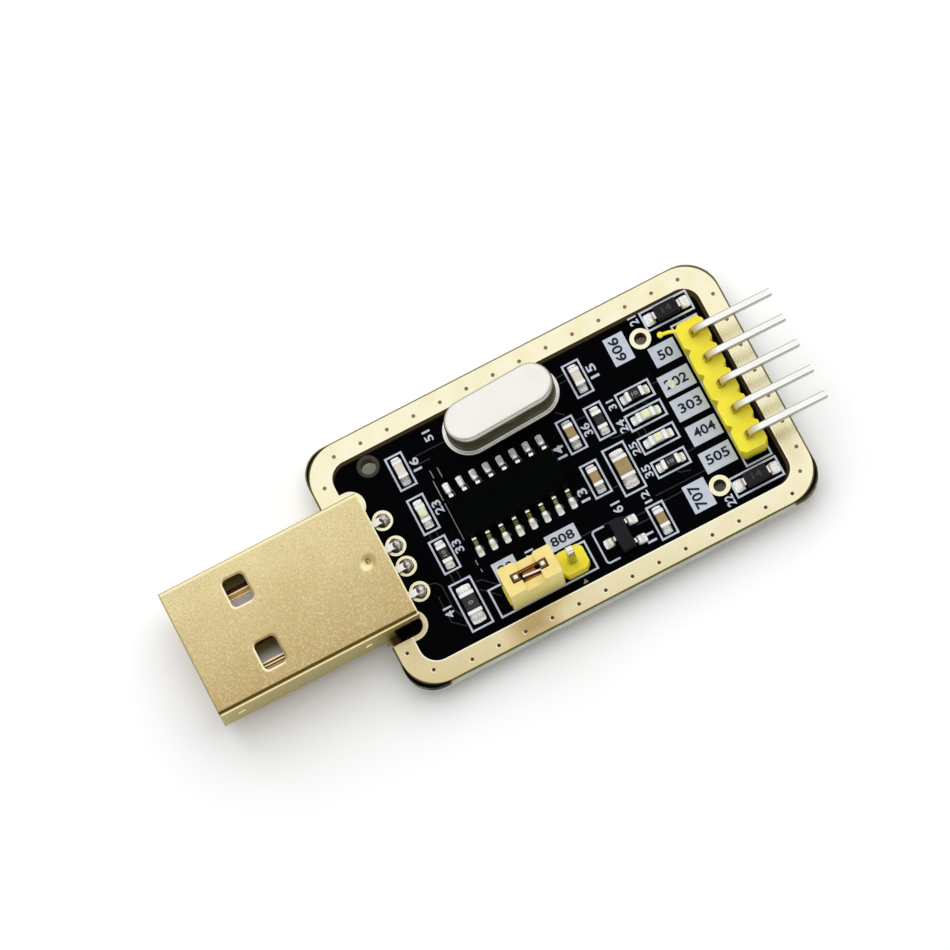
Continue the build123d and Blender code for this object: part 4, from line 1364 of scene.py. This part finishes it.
def line_tree(name: str) -> bpy.types.NodeTree:
    """A geometry tree that turns the edges of a mesh into flat raised lines.

    Args:
        name: The tree's name.

    Returns:
        The tree, with inputs for the line's width, height, bend radius and material.
    """
    graph = geometry_tree(name, {"Width": FLOAT, "Height": FLOAT, "Bend": FLOAT})
    ins = graph.add("NodeGroupInput").outputs
    path = graph.add("GeometryNodeMeshToCurve", {"Mesh": ins["Geometry"]}).outputs[0]
    bent = graph.add("GeometryNodeFilletCurve", {
        "Curve": path, "Radius": ins["Bend"], "Count": BEND_STEPS, "Limit Radius": True,
    }, mode="POLY").outputs[0]
    level = graph.add("GeometryNodeSetCurveNormal", {"Curve": bent}, mode="Z_UP").outputs[0]
    section = graph.add("GeometryNodeCurvePrimitiveQuadrilateral", {
        "Width": ins["Width"], "Height": ins["Height"]}).outputs[0]
    solid = graph.add("GeometryNodeCurveToMesh", {
        "Curve": level, "Profile Curve": section, "Fill Caps": True}).outputs[0]
    return closed_tree(graph, ins, solid)


def grown(
    name: str, source: Mesh, tree: bpy.types.NodeTree, values: dict[str, Any],
) -> Mesh:
    """The plain mesh that a geometry tree makes from a source mesh.

    Args:
        name: The new mesh's name.
        source: The mesh that goes in.
        tree: The geometry tree.
        values: The tree's inputs by name.

    Returns:
        The mesh that comes out.
    """
    carrier = linked(name, source)
    modifier = carrier.modifiers.new(name, "NODES")
    modifier.node_group = tree
    for item in tree.interface.items_tree:
        if item.in_out == "INPUT" and item.name in values:
            modifier[item.identifier] = values[item.name]
    mesh = baked(carrier)
    mesh.name = name
    return mesh


def path_mesh(name: str, paths: Sequence[Sequence[Place]], level: float) -> Mesh:
    """A mesh of edges that runs through each path.

    Args:
        name: The mesh's name.
        paths: The corner points of each path, in board millimetres.
        level: Their height.

    Returns:
        The mesh of edges.
    """
    points: list[Vector] = []
    edges: list[tuple[int, int]] = []
    for path in paths:
        start = len(points)
        points += [at(x, y, level) for x, y in path]
        edges += [(start + step, start + step + 1) for step in range(len(path) - 1)]
    return plain_mesh(name, points, edges=edges)


@dataclass
class LineWork:
    """Lines on the board: printed strokes, tracks that show under the mask, and painted lead reflections."""

    ink_width: float = 0.17
    fine_width: float = 0.09
    ink_height: float = 0.02
    track_width: float = 0.1
    track_height: float = 0.012
    bend: float = 0.25
    strokes: tuple[tuple[Place, ...], ...] = (
        ((16.4, -5.83), (15.23, -5.83), (15.23, -8.92), (16.4, -8.92)),
    )
    fine_strokes: tuple[tuple[Place, ...], ...] = (
        ((5.38, 4.55), (5.38, 2.6)), ((5.38, 2.35), (5.38, -1.3)), ((5.42, -3.3), (5.42, -3.8)),
        ((5.47, -4.2), (5.5, -4.5)), ((5.55, 5.5), (5.55, 4.75)), ((6.22, 5.45), (6.24, 4.5)),
    )
    tracks: tuple[tuple[Place, ...], ...] = (
        ((7.95, 7.2), (5.0, 7.2)), ((6.05, 6.45), (4.9, 6.45)), ((2.95, 0.55), (2.95, -0.05)),
        ((3.6, 0.55), (3.6, -0.05)), ((2.95, -3.3), (2.95, -4.2)), ((3.6, -3.3), (3.6, -4.2)),
        ((0.95, -3.35), (1.5, -3.45), (1.88, -3.95), (1.88, -6.3), (2.3, -7.2)),
        ((1.18, -4.65), (1.18, -7.15), (2.2, -8.05)), ((4.6, -5.0), (5.1, -5.05), (6.1, -6.05)),
        ((4.6, -5.75), (6.0, -7.1)), ((19.55, 7.65), (18.75, 7.65)), ((19.55, 7.05), (18.6, 7.05)),
        ((18.5, 3.5), (19.5, 3.5)), ((21.5, -5.55), (26.3, -5.55)), ((18.95, -6.35), (23.75, -6.25)),
        ((14.3, -5.72), (17.6, -5.72), (18.5, -6.0)), ((18.9, -7.05), (20.2, -7.05)),
        ((18.55, -3.25), (19.2, -3.25)), ((25.7, 3.35), (26.3, 3.25)), ((25.7, -3.4), (26.4, -3.4)),
        ((23.35, 0.2), (23.35, -0.35)), ((22.75, 0.2), (22.75, -0.35)), ((15.3, -2.45), (16.8, -2.45)),
        ((15.35, 0.9), (15.35, 3.1)), ((30.35, 7.4), (30.35, 7.2)), ((31.0, 7.4), (31.0, 7.2)),
        ((17.3, 5.0), (17.95, 4.4)), ((23.4, 2.3), (23.6, 1.95)), ((24.3, 2.3), (24.7, 1.95)),
        ((20.4, 0.85), (20.8, 0.6), (22.2, 0.6)), ((24.1, -4.4), (24.3, -4.7), (25.2, -4.95)),
    )
    triangle: tuple[Place, ...] = ((12.6, -9.5), (13.1, -9.5), (12.88, -9.12))
    glint_start: float = 6.38
    glint_pitch: float = 1.27
    glint_count: int = 8
    glint_width: float = 0.07
    back_glint: tuple[Place, ...] = ((0.0, 3.35), (0.1, 3.0), (0.16, 2.55))
    front_glint: tuple[Place, ...] = ((0.12, -2.45), (0.16, -2.82))

    def glints(self) -> list[list[Place]]:
        """The short painted reflections that the chip's leads leave on the mask beside them.

        Returns:
            Their paths.
        """
        return [
            [(self.glint_start + step * self.glint_pitch + x, y) for x, y in path]
            for step in range(self.glint_count) for path in (self.back_glint, self.front_glint)]

    def lines(
        self, name: str, paths: Sequence[Sequence[Place]], width: float, height: float, finish: Finish,
        slot: str,
    ) -> Piece:
        """Makes one set of raised lines.

        Args:
            name: The piece's name.
            paths: The corner points of each line.
            width: The lines' width.
            height: Their height.
            finish: What they wear.
            slot: The record's material slot; not used.

        Returns:
            The new piece.
        """
        mesh = grown(name, path_mesh(f"{name}_paths", paths, height / 2), line_tree(f"{name}_tree"), {
            "Width": width * MM, "Height": height * MM, "Bend": self.bend * MM, "Material": finish.build()})
        return place_piece(name, mesh, finish)

    def marker(self) -> Piece:
        """Makes the small triangle that is printed by the pin row.

        Returns:
            The new piece.
        """
        count = len(self.triangle)
        points = [at(x, y, level) for level in (0.0, self.ink_height) for x, y in self.triangle]
        sides = [(k, (k + 1) % count, (k + 1) % count + count, k + count) for k in range(count)]
        faces = [tuple(reversed(range(count))), tuple(range(count, 2 * count)), *sides]
        mesh = plain_mesh("triangle_mark", points, faces)
        return place_piece("triangle_mark", mesh, FIGURE_GREY)

    def build(self) -> list[Piece]:
        """Makes the printed strokes, the tracks, the painted reflections and the triangle."""
        white, ink, mask = FINISHES["white_ink"], "white_ink", "board_mask"
        sets = (
            ("printed_strokes", self.strokes, self.ink_width, self.ink_height, white, ink),
            ("fine_strokes", self.fine_strokes, self.fine_width, self.ink_height, FIGURE_GREY, ink),
            ("mask_tracks", self.tracks, self.track_width, self.track_height, TRACE_MASK, mask),
            ("pad_glints", self.glints(), self.glint_width, self.track_height, PAD_GLINT, mask))
        return [*(self.lines(*row) for row in sets), self.marker()]


@dataclass
class ViaFills:
    """Plugs in the rim's small plated holes; near ones are painted dark as shade, with painted lip
    highlights.
    """

    front: float = -4.15
    rear: float = 34.7
    side: float = 11.55
    back_row: tuple[float, float, float, int] = (1.1, 3.0, 2.765, 14)
    front_row: tuple[float, float, float, int] = (0.7, 5.42, 2.89, 13)
    end_row: tuple[float, float, float, int] = (0.67, 4.18, 3.65, 7)
    back_lone: tuple[Place, ...] = ((-3.1, 8.35), (33.31, -9.43))
    front_lone: tuple[Place, ...] = ((-3.37, -7.8), (-2.02, -10.12))
    radius: float = 0.168
    depth: float = 1.5
    top: float = -0.02
    around: int = 16
    highlight_radius: float = 0.2
    highlight_shift: Place = (-0.055, -0.03)
    highlight_top: float = 0.047
    near_top: float = 0.051

    @staticmethod
    def spaced(first: float, last: float, count: int) -> list[float]:
        """Evenly spaced values from first to last."""
        return [first + (last - first) * step / (count - 1) for step in range(count)]

    def far_places(self) -> list[Place]:
        """The middles of the holes on the far side and at the end.

        Returns:
            Their places on the board.
        """
        inset, begin, end, count = self.back_row
        back = [(x, self.side - inset) for x in self.spaced(self.front + begin, self.rear - end, count)]
        inset, begin, end, count = self.end_row
        far = [(self.rear - inset, y) for y in self.spaced(begin - self.side, self.side - end, count)]
        return back + far + list(self.back_lone)

    def near_places(self) -> list[Place]:
        """The middles of the holes on the near side.

        Returns:
            Their places on the board.
        """
        inset, begin, end, count = self.front_row
        near = [(x, inset - self.side) for x in self.spaced(self.front + begin, self.rear - end, count)]
        return near + list(self.front_lone)

    def tree(self) -> bpy.types.NodeTree:
        """A geometry tree that stands a short plug on every point.

        Returns:
            The tree, with inputs for the plugs' radius, depth, sides and material.
        """
        graph = geometry_tree("via_fill_tree", {"Radius": FLOAT, "Depth": FLOAT, "Sides": INTEGER})
        ins = graph.add("NodeGroupInput").outputs
        plug = graph.add("GeometryNodeMeshCylinder", {
            "Vertices": ins["Sides"], "Radius": ins["Radius"], "Depth": ins["Depth"]}).outputs["Mesh"]
        points = graph.add("GeometryNodeMeshToPoints", {0: ins["Geometry"]}).outputs[0]
        placed = graph.add("GeometryNodeInstanceOnPoints", {"Points": points, "Instance": plug}).outputs[0]
        return closed_tree(graph, ins, placed)

    def plugs(
        self, name: str, places: Iterable[Place], radius: float, span: Place, finish: Finish,
    ) -> Piece:
        """Makes one set of round plugs.

        Args:
            name: The piece's name.
            places: Where they stand.
            radius: Their radius.
            span: The heights of their lower and upper ends.
            finish: What they wear.

        Returns:
            The new piece.
        """
        low, high = span
        source = plain_mesh(f"{name}_places", [at(x, y, (low + high) / 2) for x, y in places])
        tree = bpy.data.node_groups.get("via_fill_tree") or self.tree()
        mesh = grown(name, source, tree, {
            "Radius": radius * MM, "Depth": (high - low) * MM, "Sides": self.around,
            "Material": finish.build()})
        return place_piece(name, mesh, finish)

    def build(self) -> list[Piece]:
        """Makes the plugs of both sides, and the painted highlights on the near lips.

        Returns:
            The new pieces.
        """
        near = self.near_places()
        shifted = [(x + self.highlight_shift[0], y + self.highlight_shift[1]) for x, y in near]
        bottom = self.top - self.depth
        return [
            self.plugs("via_fills", self.far_places(), self.radius, (bottom, self.top), VIA_FILL),
            self.plugs("via_fills_near", near, self.radius, (bottom, self.near_top), VIA_PAINTED_SHADE),
            self.plugs("via_lip_highlights", shifted, self.highlight_radius, (0.0, self.highlight_top), VIA_LIP_HIGHLIGHT)]


def add_dome(
    points: list[Vector], faces: list[tuple[int, ...]], place: Place, size: Place, levels: Place,
    rings: Sequence[Place], swell: Sequence[float],
) -> None:
    """Adds a closed uneven dome to a mesh in the making.

    Args:
        points: The mesh's points.
        faces: The mesh's faces.
        place: The dome's middle.
        size: Its half length and half width.
        levels: Its base and its top.
        rings: Its profile, as shares of the size and of the height, from the base up.
        swell: How far it reaches in each direction, as shares.
    """
    start, steps = len(points), len(swell)
    base, top = levels
    for share, lift in rings:
        for step, reach in enumerate(swell):
            angle = 2 * math.pi * step / steps
            points.append(at(
                place[0] + size[0] * share * reach * math.cos(angle),
                place[1] + size[1] * share * reach * math.sin(angle), base + lift * (top - base)))
    points.append(at(*place, top))
    faces.append(tuple(reversed(range(start, start + steps))))
    for ring in range(len(rings) - 1):
        low, high = start + ring * steps, start + (ring + 1) * steps
        for step in range(steps):
            after = (step + 1) % steps
            faces.append((low + step, low + after, high + after, high + step))
    last = start + (len(rings) - 1) * steps
    for step in range(steps):
        faces.append((last + step, last + (step + 1) % steps, len(points) - 1))


@dataclass
class TailSolder:
    """Uneven solder mounds over the tails of the plug's contacts, each in a dark ring of painted shadow."""

    rows: tuple[float, ...] = (3.5, 1.0, -1.0, -3.5)
    shift: float = 0.1
    radius: float = 0.56
    levels: Place = (0.03, 0.7)
    rings: tuple[Place, ...] = ((1.0, 0.0), (0.92, 0.28), (0.72, 0.6), (0.42, 0.88))
    steps: int = 18
    spread: Place = (0.86, 1.1)
    length_spread: Place = (0.95, 1.08)
    width_spread: Place = (0.92, 1.05)
    ring_radius: float = 0.66
    ring_top: float = 0.05
    ring_spread: Place = (0.93, 1.06)
    ring_profile: tuple[Place, ...] = ((1.0, 0.0), (1.0, 1.0))
    seed: int = 11

    def build(self) -> list[Piece]:
        """Makes the mounds and their dark rings.

        Returns:
            The new pieces.
        """
        draw = random.Random(self.seed)
        mounds, mound_faces, shadow_points, shadow_faces = [], [], [], []
        for row in self.rows:
            swell = [draw.uniform(*self.spread) for _ in range(self.steps)]
            length = self.radius * draw.uniform(*self.length_spread)
            size = (length, self.radius * draw.uniform(*self.width_spread))
            add_dome(mounds, mound_faces, (self.shift, row), size, self.levels, self.rings, swell)
            swell = [draw.uniform(*self.ring_spread) for _ in range(self.steps)]
            add_dome(
                shadow_points, shadow_faces, (0.0, row), (self.ring_radius,) * 2, (0.0, self.ring_top),
                self.ring_profile, swell)
        sets = (
            ("tail_solder", mounds, mound_faces, TAIL_SOLDER), ("tail_shadow_rings", shadow_points, shadow_faces, TAIL_SHADOW_RING))
        return [
            place_piece(name, smoothed(plain_mesh(name, points, faces)), finish)
            for name, points, faces, finish in sets]


@dataclass
class JumperBar:
    """The bright bar of the spring contact in the saddle of the jumper cap."""

    place: Place = (9.02, -7.63)
    half: Place = (0.88, 0.085)
    span: Place = (4.42, 4.54)
    turn: float = -5.0

    def build(self) -> Piece:
        """Makes the bar, which moves with the cap.

        Returns:
            The new piece.
        """
        turn = math.radians(self.turn)
        along, across = Vector((math.cos(turn), math.sin(turn))), Vector((-math.sin(turn), math.cos(turn)))
        points = []
        for z in self.span:
            for a, b in ((-1, -1), (1, -1), (1, 1), (-1, 1)):
                spot = Vector(self.place) + along * (a * self.half[0]) + across * (b * self.half[1])
                points.append(at(spot.x, spot.y, z))
        faces = [(3, 2, 1, 0), (4, 5, 6, 7), (0, 1, 5, 4), (1, 2, 6, 5), (2, 3, 7, 6), (3, 0, 4, 7)]
        mesh = plain_mesh("jumper_bar", points, faces)
        return place_piece("jumper_bar", mesh, BAR_METAL, JUMPER)


@dataclass
class EdgeFibres:
    """Broken glass threads along the cut edge of the laminate."""

    middle: Place = (15.275, 0.0)
    half: Place = (19.555, 11.68)
    corners: tuple[float, ...] = (3.1, 2.6, 2.6, 2.6)
    corner_steps: int = 8
    count: int = 900
    thread_length: float = 0.55
    thread_radius: float = 0.014
    thread_sides: int = 5
    depth: Place = (-1.5, -0.12)
    tilt: float = 0.35
    size_spread: Place = (0.3, 1.0)
    seed: int = 7

    def outline(self) -> list[Place]:
        """The laminate's outline just inside its cut face, from corner to corner.

        Returns:
            The outline's points, with the first one again at the end.
        """
        points = []
        ways = ((1, 1), (-1, 1), (-1, -1), (1, -1))
        for quarter, ((sx, sy), radius) in enumerate(zip(ways, self.corners)):
            cx = self.middle[0] + sx * (self.half[0] - radius)
            cy = self.middle[1] + sy * (self.half[1] - radius)
            for step in range(self.corner_steps + 1):
                angle = math.pi / 2 * (quarter + step / self.corner_steps)
                points.append((cx + radius * math.cos(angle), cy + radius * math.sin(angle)))
        return points + points[:1]

    def tree(self) -> bpy.types.NodeTree:
        """A geometry tree that scatters short threads along a path.

        Returns:
            The tree, with inputs for the threads' count, length, radius, depth, seed and material.
        """
        graph = geometry_tree("edge_fibre_tree", {
            "Count": INTEGER, "Length": FLOAT, "Radius": FLOAT, "Lowest": FLOAT, "Highest": FLOAT,
            "Seed": INTEGER})
        ins = graph.add("NodeGroupInput").outputs
        path = graph.add("GeometryNodeMeshToCurve", {"Mesh": ins["Geometry"]}).outputs[0]
        spots = graph.add("GeometryNodeCurveToPoints", {"Curve": path, "Count": ins["Count"]}, mode="COUNT")
        drop = self.drawn(graph, ins["Seed"], ins["Lowest"], ins["Highest"])
        level = graph.add("ShaderNodeCombineXYZ", {"Z": drop}).outputs[0]
        lowered = graph.add("GeometryNodeSetPosition", {
            "Geometry": spots.outputs["Points"], "Offset": level}).outputs[0]
        thread = graph.add("GeometryNodeMeshCylinder", {
            "Vertices": self.thread_sides, "Radius": ins["Radius"], "Depth": ins["Length"]}).outputs["Mesh"]
        tilt = self.drawn(graph, ins["Seed"], -self.tilt, self.tilt)
        lean = graph.add("ShaderNodeCombineXYZ", {"Y": tilt}).outputs[0]
        turned = graph.add("FunctionNodeRotateEuler", {
            "Rotation": spots.outputs["Rotation"], "Rotate By": lean}, space="LOCAL").outputs[0]
        size = self.drawn(graph, ins["Seed"], *self.size_spread)
        placed = graph.add("GeometryNodeInstanceOnPoints", {
            "Points": lowered, "Instance": thread, "Rotation": turned, "Scale": size}).outputs[0]
        return closed_tree(graph, ins, placed)

    @staticmethod
    def drawn(graph: Graph, seed: Socket, low: Any, high: Any) -> Socket:
        """A random number from low to high for each thread."""
        node = graph.add(
            "FunctionNodeRandomValue", {"Min": low, "Max": high, "Seed": seed}, data_type="FLOAT")
        return next(out for out in node.outputs if out.type == "VALUE" and out.enabled)

    def build(self) -> Piece:
        """Makes the threads as one piece.

        Returns:
            The new piece.
        """
        mesh = grown("edge_fibres", path_mesh("edge_path", [self.outline()], 0.0), self.tree(), {
            "Count": self.count, "Length": self.thread_length * MM, "Radius": self.thread_radius * MM,
            "Lowest": self.depth[0] * MM, "Highest": self.depth[1] * MM, "Seed": self.seed,
            "Material": GLASS_FIBRE.build()})
        return place_piece("edge_fibres", mesh, GLASS_FIBRE)


@dataclass
class FluxSmear:
    """A dried smear of flux on one of the label boxes."""

    place: Place = (27.25, 2.5)
    size: Place = (0.42, 0.48)
    levels: Place = (0.02, 0.07)
    rings: tuple[Place, ...] = ((1.0, 0.0), (0.92, 0.6), (0.6, 0.9))
    steps: int = 22
    spread: Place = (0.75, 1.1)
    seed: int = 4

    def build(self) -> Piece:
        """Makes the smear as a low uneven dome.

        Returns:
            The new piece.
        """
        draw = random.Random(self.seed)
        swell = [draw.uniform(*self.spread) for _ in range(self.steps)]
        points, faces = [], []
        add_dome(points, faces, self.place, self.size, self.levels, self.rings, swell)
        mesh = smoothed(plain_mesh("flux_smear", points, faces))
        return place_piece("flux_smear", mesh, FLUX_SMEAR)


@dataclass
class Studio:
    """A pale floor, an even surround and one broad soft lamp above and behind the board.

    The surround has one dark strip, on the near side, as a room has beside a photographer's white sheets.
    """

    floor_size: float = 3.0
    floor_colour: Colour = (0.965, 0.967, 0.97)
    surround: Colour = (1.0, 1.0, 1.0)
    surround_strength: float = 0.98
    strip_start: Place = (0.30, 0.55)
    strip_end: Place = (1.15, 1.60)
    strip_shade: float = 0.8
    strip_floor: float = 0.02
    lamp_place: Place = (0.08, 0.26)
    lamp_height: float = 0.42
    lamp_size: float = 0.68
    lamp_power: float = 1.35

    def build(self) -> None:
        """Makes the floor, the surround and the lamp."""
        self.floor()
        self.world()
        self.lamp()

    def floor(self) -> None:
        """Lays the floor under the part."""
        half = self.floor_size / 2
        outline = [(-half, -half, 0), (half, -half, 0), (half, half, 0), (-half, half, 0)]
        floor = linked("floor", plain_mesh("floor", outline, [(0, 1, 2, 3)]))
        material = bpy.data.materials.new("finish_floor")
        material.use_nodes = True
        graph = Graph(material.node_tree)
        lit = graph.add("ShaderNodeBsdfDiffuse", {"Color": (*self.floor_colour, 1.0)})
        graph.add("ShaderNodeOutputMaterial", {"Surface": lit.outputs[0]})
        floor.data.materials.append(material)
        floor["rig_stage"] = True

    @staticmethod
    def seen(graph: Graph) -> Socket:
        """One for what the camera sees, directly or in metal and glass, and nothing for other light.

        Args:
            graph: The surround's tree.

        Returns:
            The socket of that share.
        """
        rays = graph.add("ShaderNodeLightPath").outputs
        direct = graph.maths("MAXIMUM", rays["Is Camera Ray"], rays["Is Glossy Ray"])
        return graph.maths("MAXIMUM", direct, rays["Is Transmission Ray"])

    def strip(self, graph: Graph) -> Socket:
        """What the dark strip leaves of the surround's light, by direction.

        Args:
            graph: The surround's tree.

        Returns:
            The socket of that share.
        """
        direction = graph.add("ShaderNodeTexCoord").outputs["Generated"]
        parts = graph.add("ShaderNodeSeparateXYZ", {0: direction}).outputs
        height = graph.maths("MAXIMUM", parts["Z"], self.strip_floor)
        lean = graph.maths("DIVIDE", graph.maths("MULTIPLY", parts["Y"], -1.0), height)
        begun = graph.span(lean, *self.strip_start, 0.0, 1.0)
        left = graph.span(lean, *self.strip_end, 1.0, 0.0)
        return graph.maths("SUBTRACT", 1.0, graph.maths(
            "MULTIPLY", graph.maths("MULTIPLY", begun, left), self.strip_shade))

    def world(self) -> None:
        """Sets a white surround, which the camera and the metals see as white, with its dark strip."""
        world = bpy.data.worlds.new("surround")
        bpy.context.scene.world = world
        world.use_nodes = True
        graph = Graph(world.node_tree)
        even = graph.maths("MAXIMUM", self.seen(graph), self.surround_strength)
        strength = graph.maths("MULTIPLY", even, self.strip(graph))
        light = graph.add("ShaderNodeBackground", {"Color": (*self.surround, 1.0), "Strength": strength})
        graph.add("ShaderNodeOutputWorld", {"Surface": light.outputs[0]})

    def lamp(self) -> None:
        """Hangs the soft lamp, turned towards the part."""
        data = bpy.data.lights.new("soft_lamp", "AREA")
        data.size = self.lamp_size
        data.energy = self.lamp_power
        lamp = linked("soft_lamp", data)
        lamp.visible_glossy = False
        lamp.location = (*self.lamp_place, self.lamp_height)
        lamp.rotation_mode = "QUATERNION"
        lamp.rotation_quaternion = (-Vector(lamp.location)).to_track_quat("-Z", "Y")
        lamp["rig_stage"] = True


@dataclass
class PhotoCamera:
    """The camera that took the photograph, as solved from the board's own features."""

    location: tuple[float, float, float] = (-0.0225225, -0.1311814, 0.5254063)
    turn: tuple[float, float, float, float] = (0.96319757, 0.12685427, 0.00993753, -0.23676926)
    lens: float = 240.406
    sensor: float = 36.0
    clip: Place = (0.01, 10.0)

    def build(self) -> None:
        """Makes the camera and gives it to the scene."""
        data = bpy.data.cameras.new("photo_camera")
        data.lens = self.lens
        data.sensor_width = self.sensor
        data.clip_start, data.clip_end = self.clip
        camera = linked("photo_camera", data)
        camera.location = self.location
        camera.rotation_mode = "QUATERNION"
        camera.rotation_quaternion = self.turn
        bpy.context.scene.camera = camera


def dress_nodes() -> None:
    """Gives every node of the frame its finish."""
    for name, node in frame["nodes"].items():
        clothe(node, finish_of(name))


def corners() -> list[list[float]]:
    """The lowest and highest corner of what shows, as plain lists."""
    return [list(corner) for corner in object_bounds()]


def main() -> None:
    """Builds and dresses the whole scene."""
    logging.basicConfig(level=logging.INFO, format="%(name)s: %(message)s")
    bpy.context.scene.view_settings.view_transform = "Standard"
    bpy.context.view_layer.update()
    dress_nodes()
    log.info("%d nodes dressed", len(frame["nodes"]))
    builders = (
        SoftenedNodes(), SolderFeet(), ViaFills(), TailSolder(), JumperBar(), PartNumbers(), PartMarks(),
        LineWork(), EdgeFibres(), FluxSmear())
    for builder in builders:
        made = builder.build()
        pieces = made if isinstance(made, list) else [made]
        for piece in pieces:
            log.info("%s: %s, %d faces", type(builder).__name__, piece.name, len(piece.data.polygons))
    Studio().build()
    PhotoCamera().build()


if __name__ == "__main__":
    main()
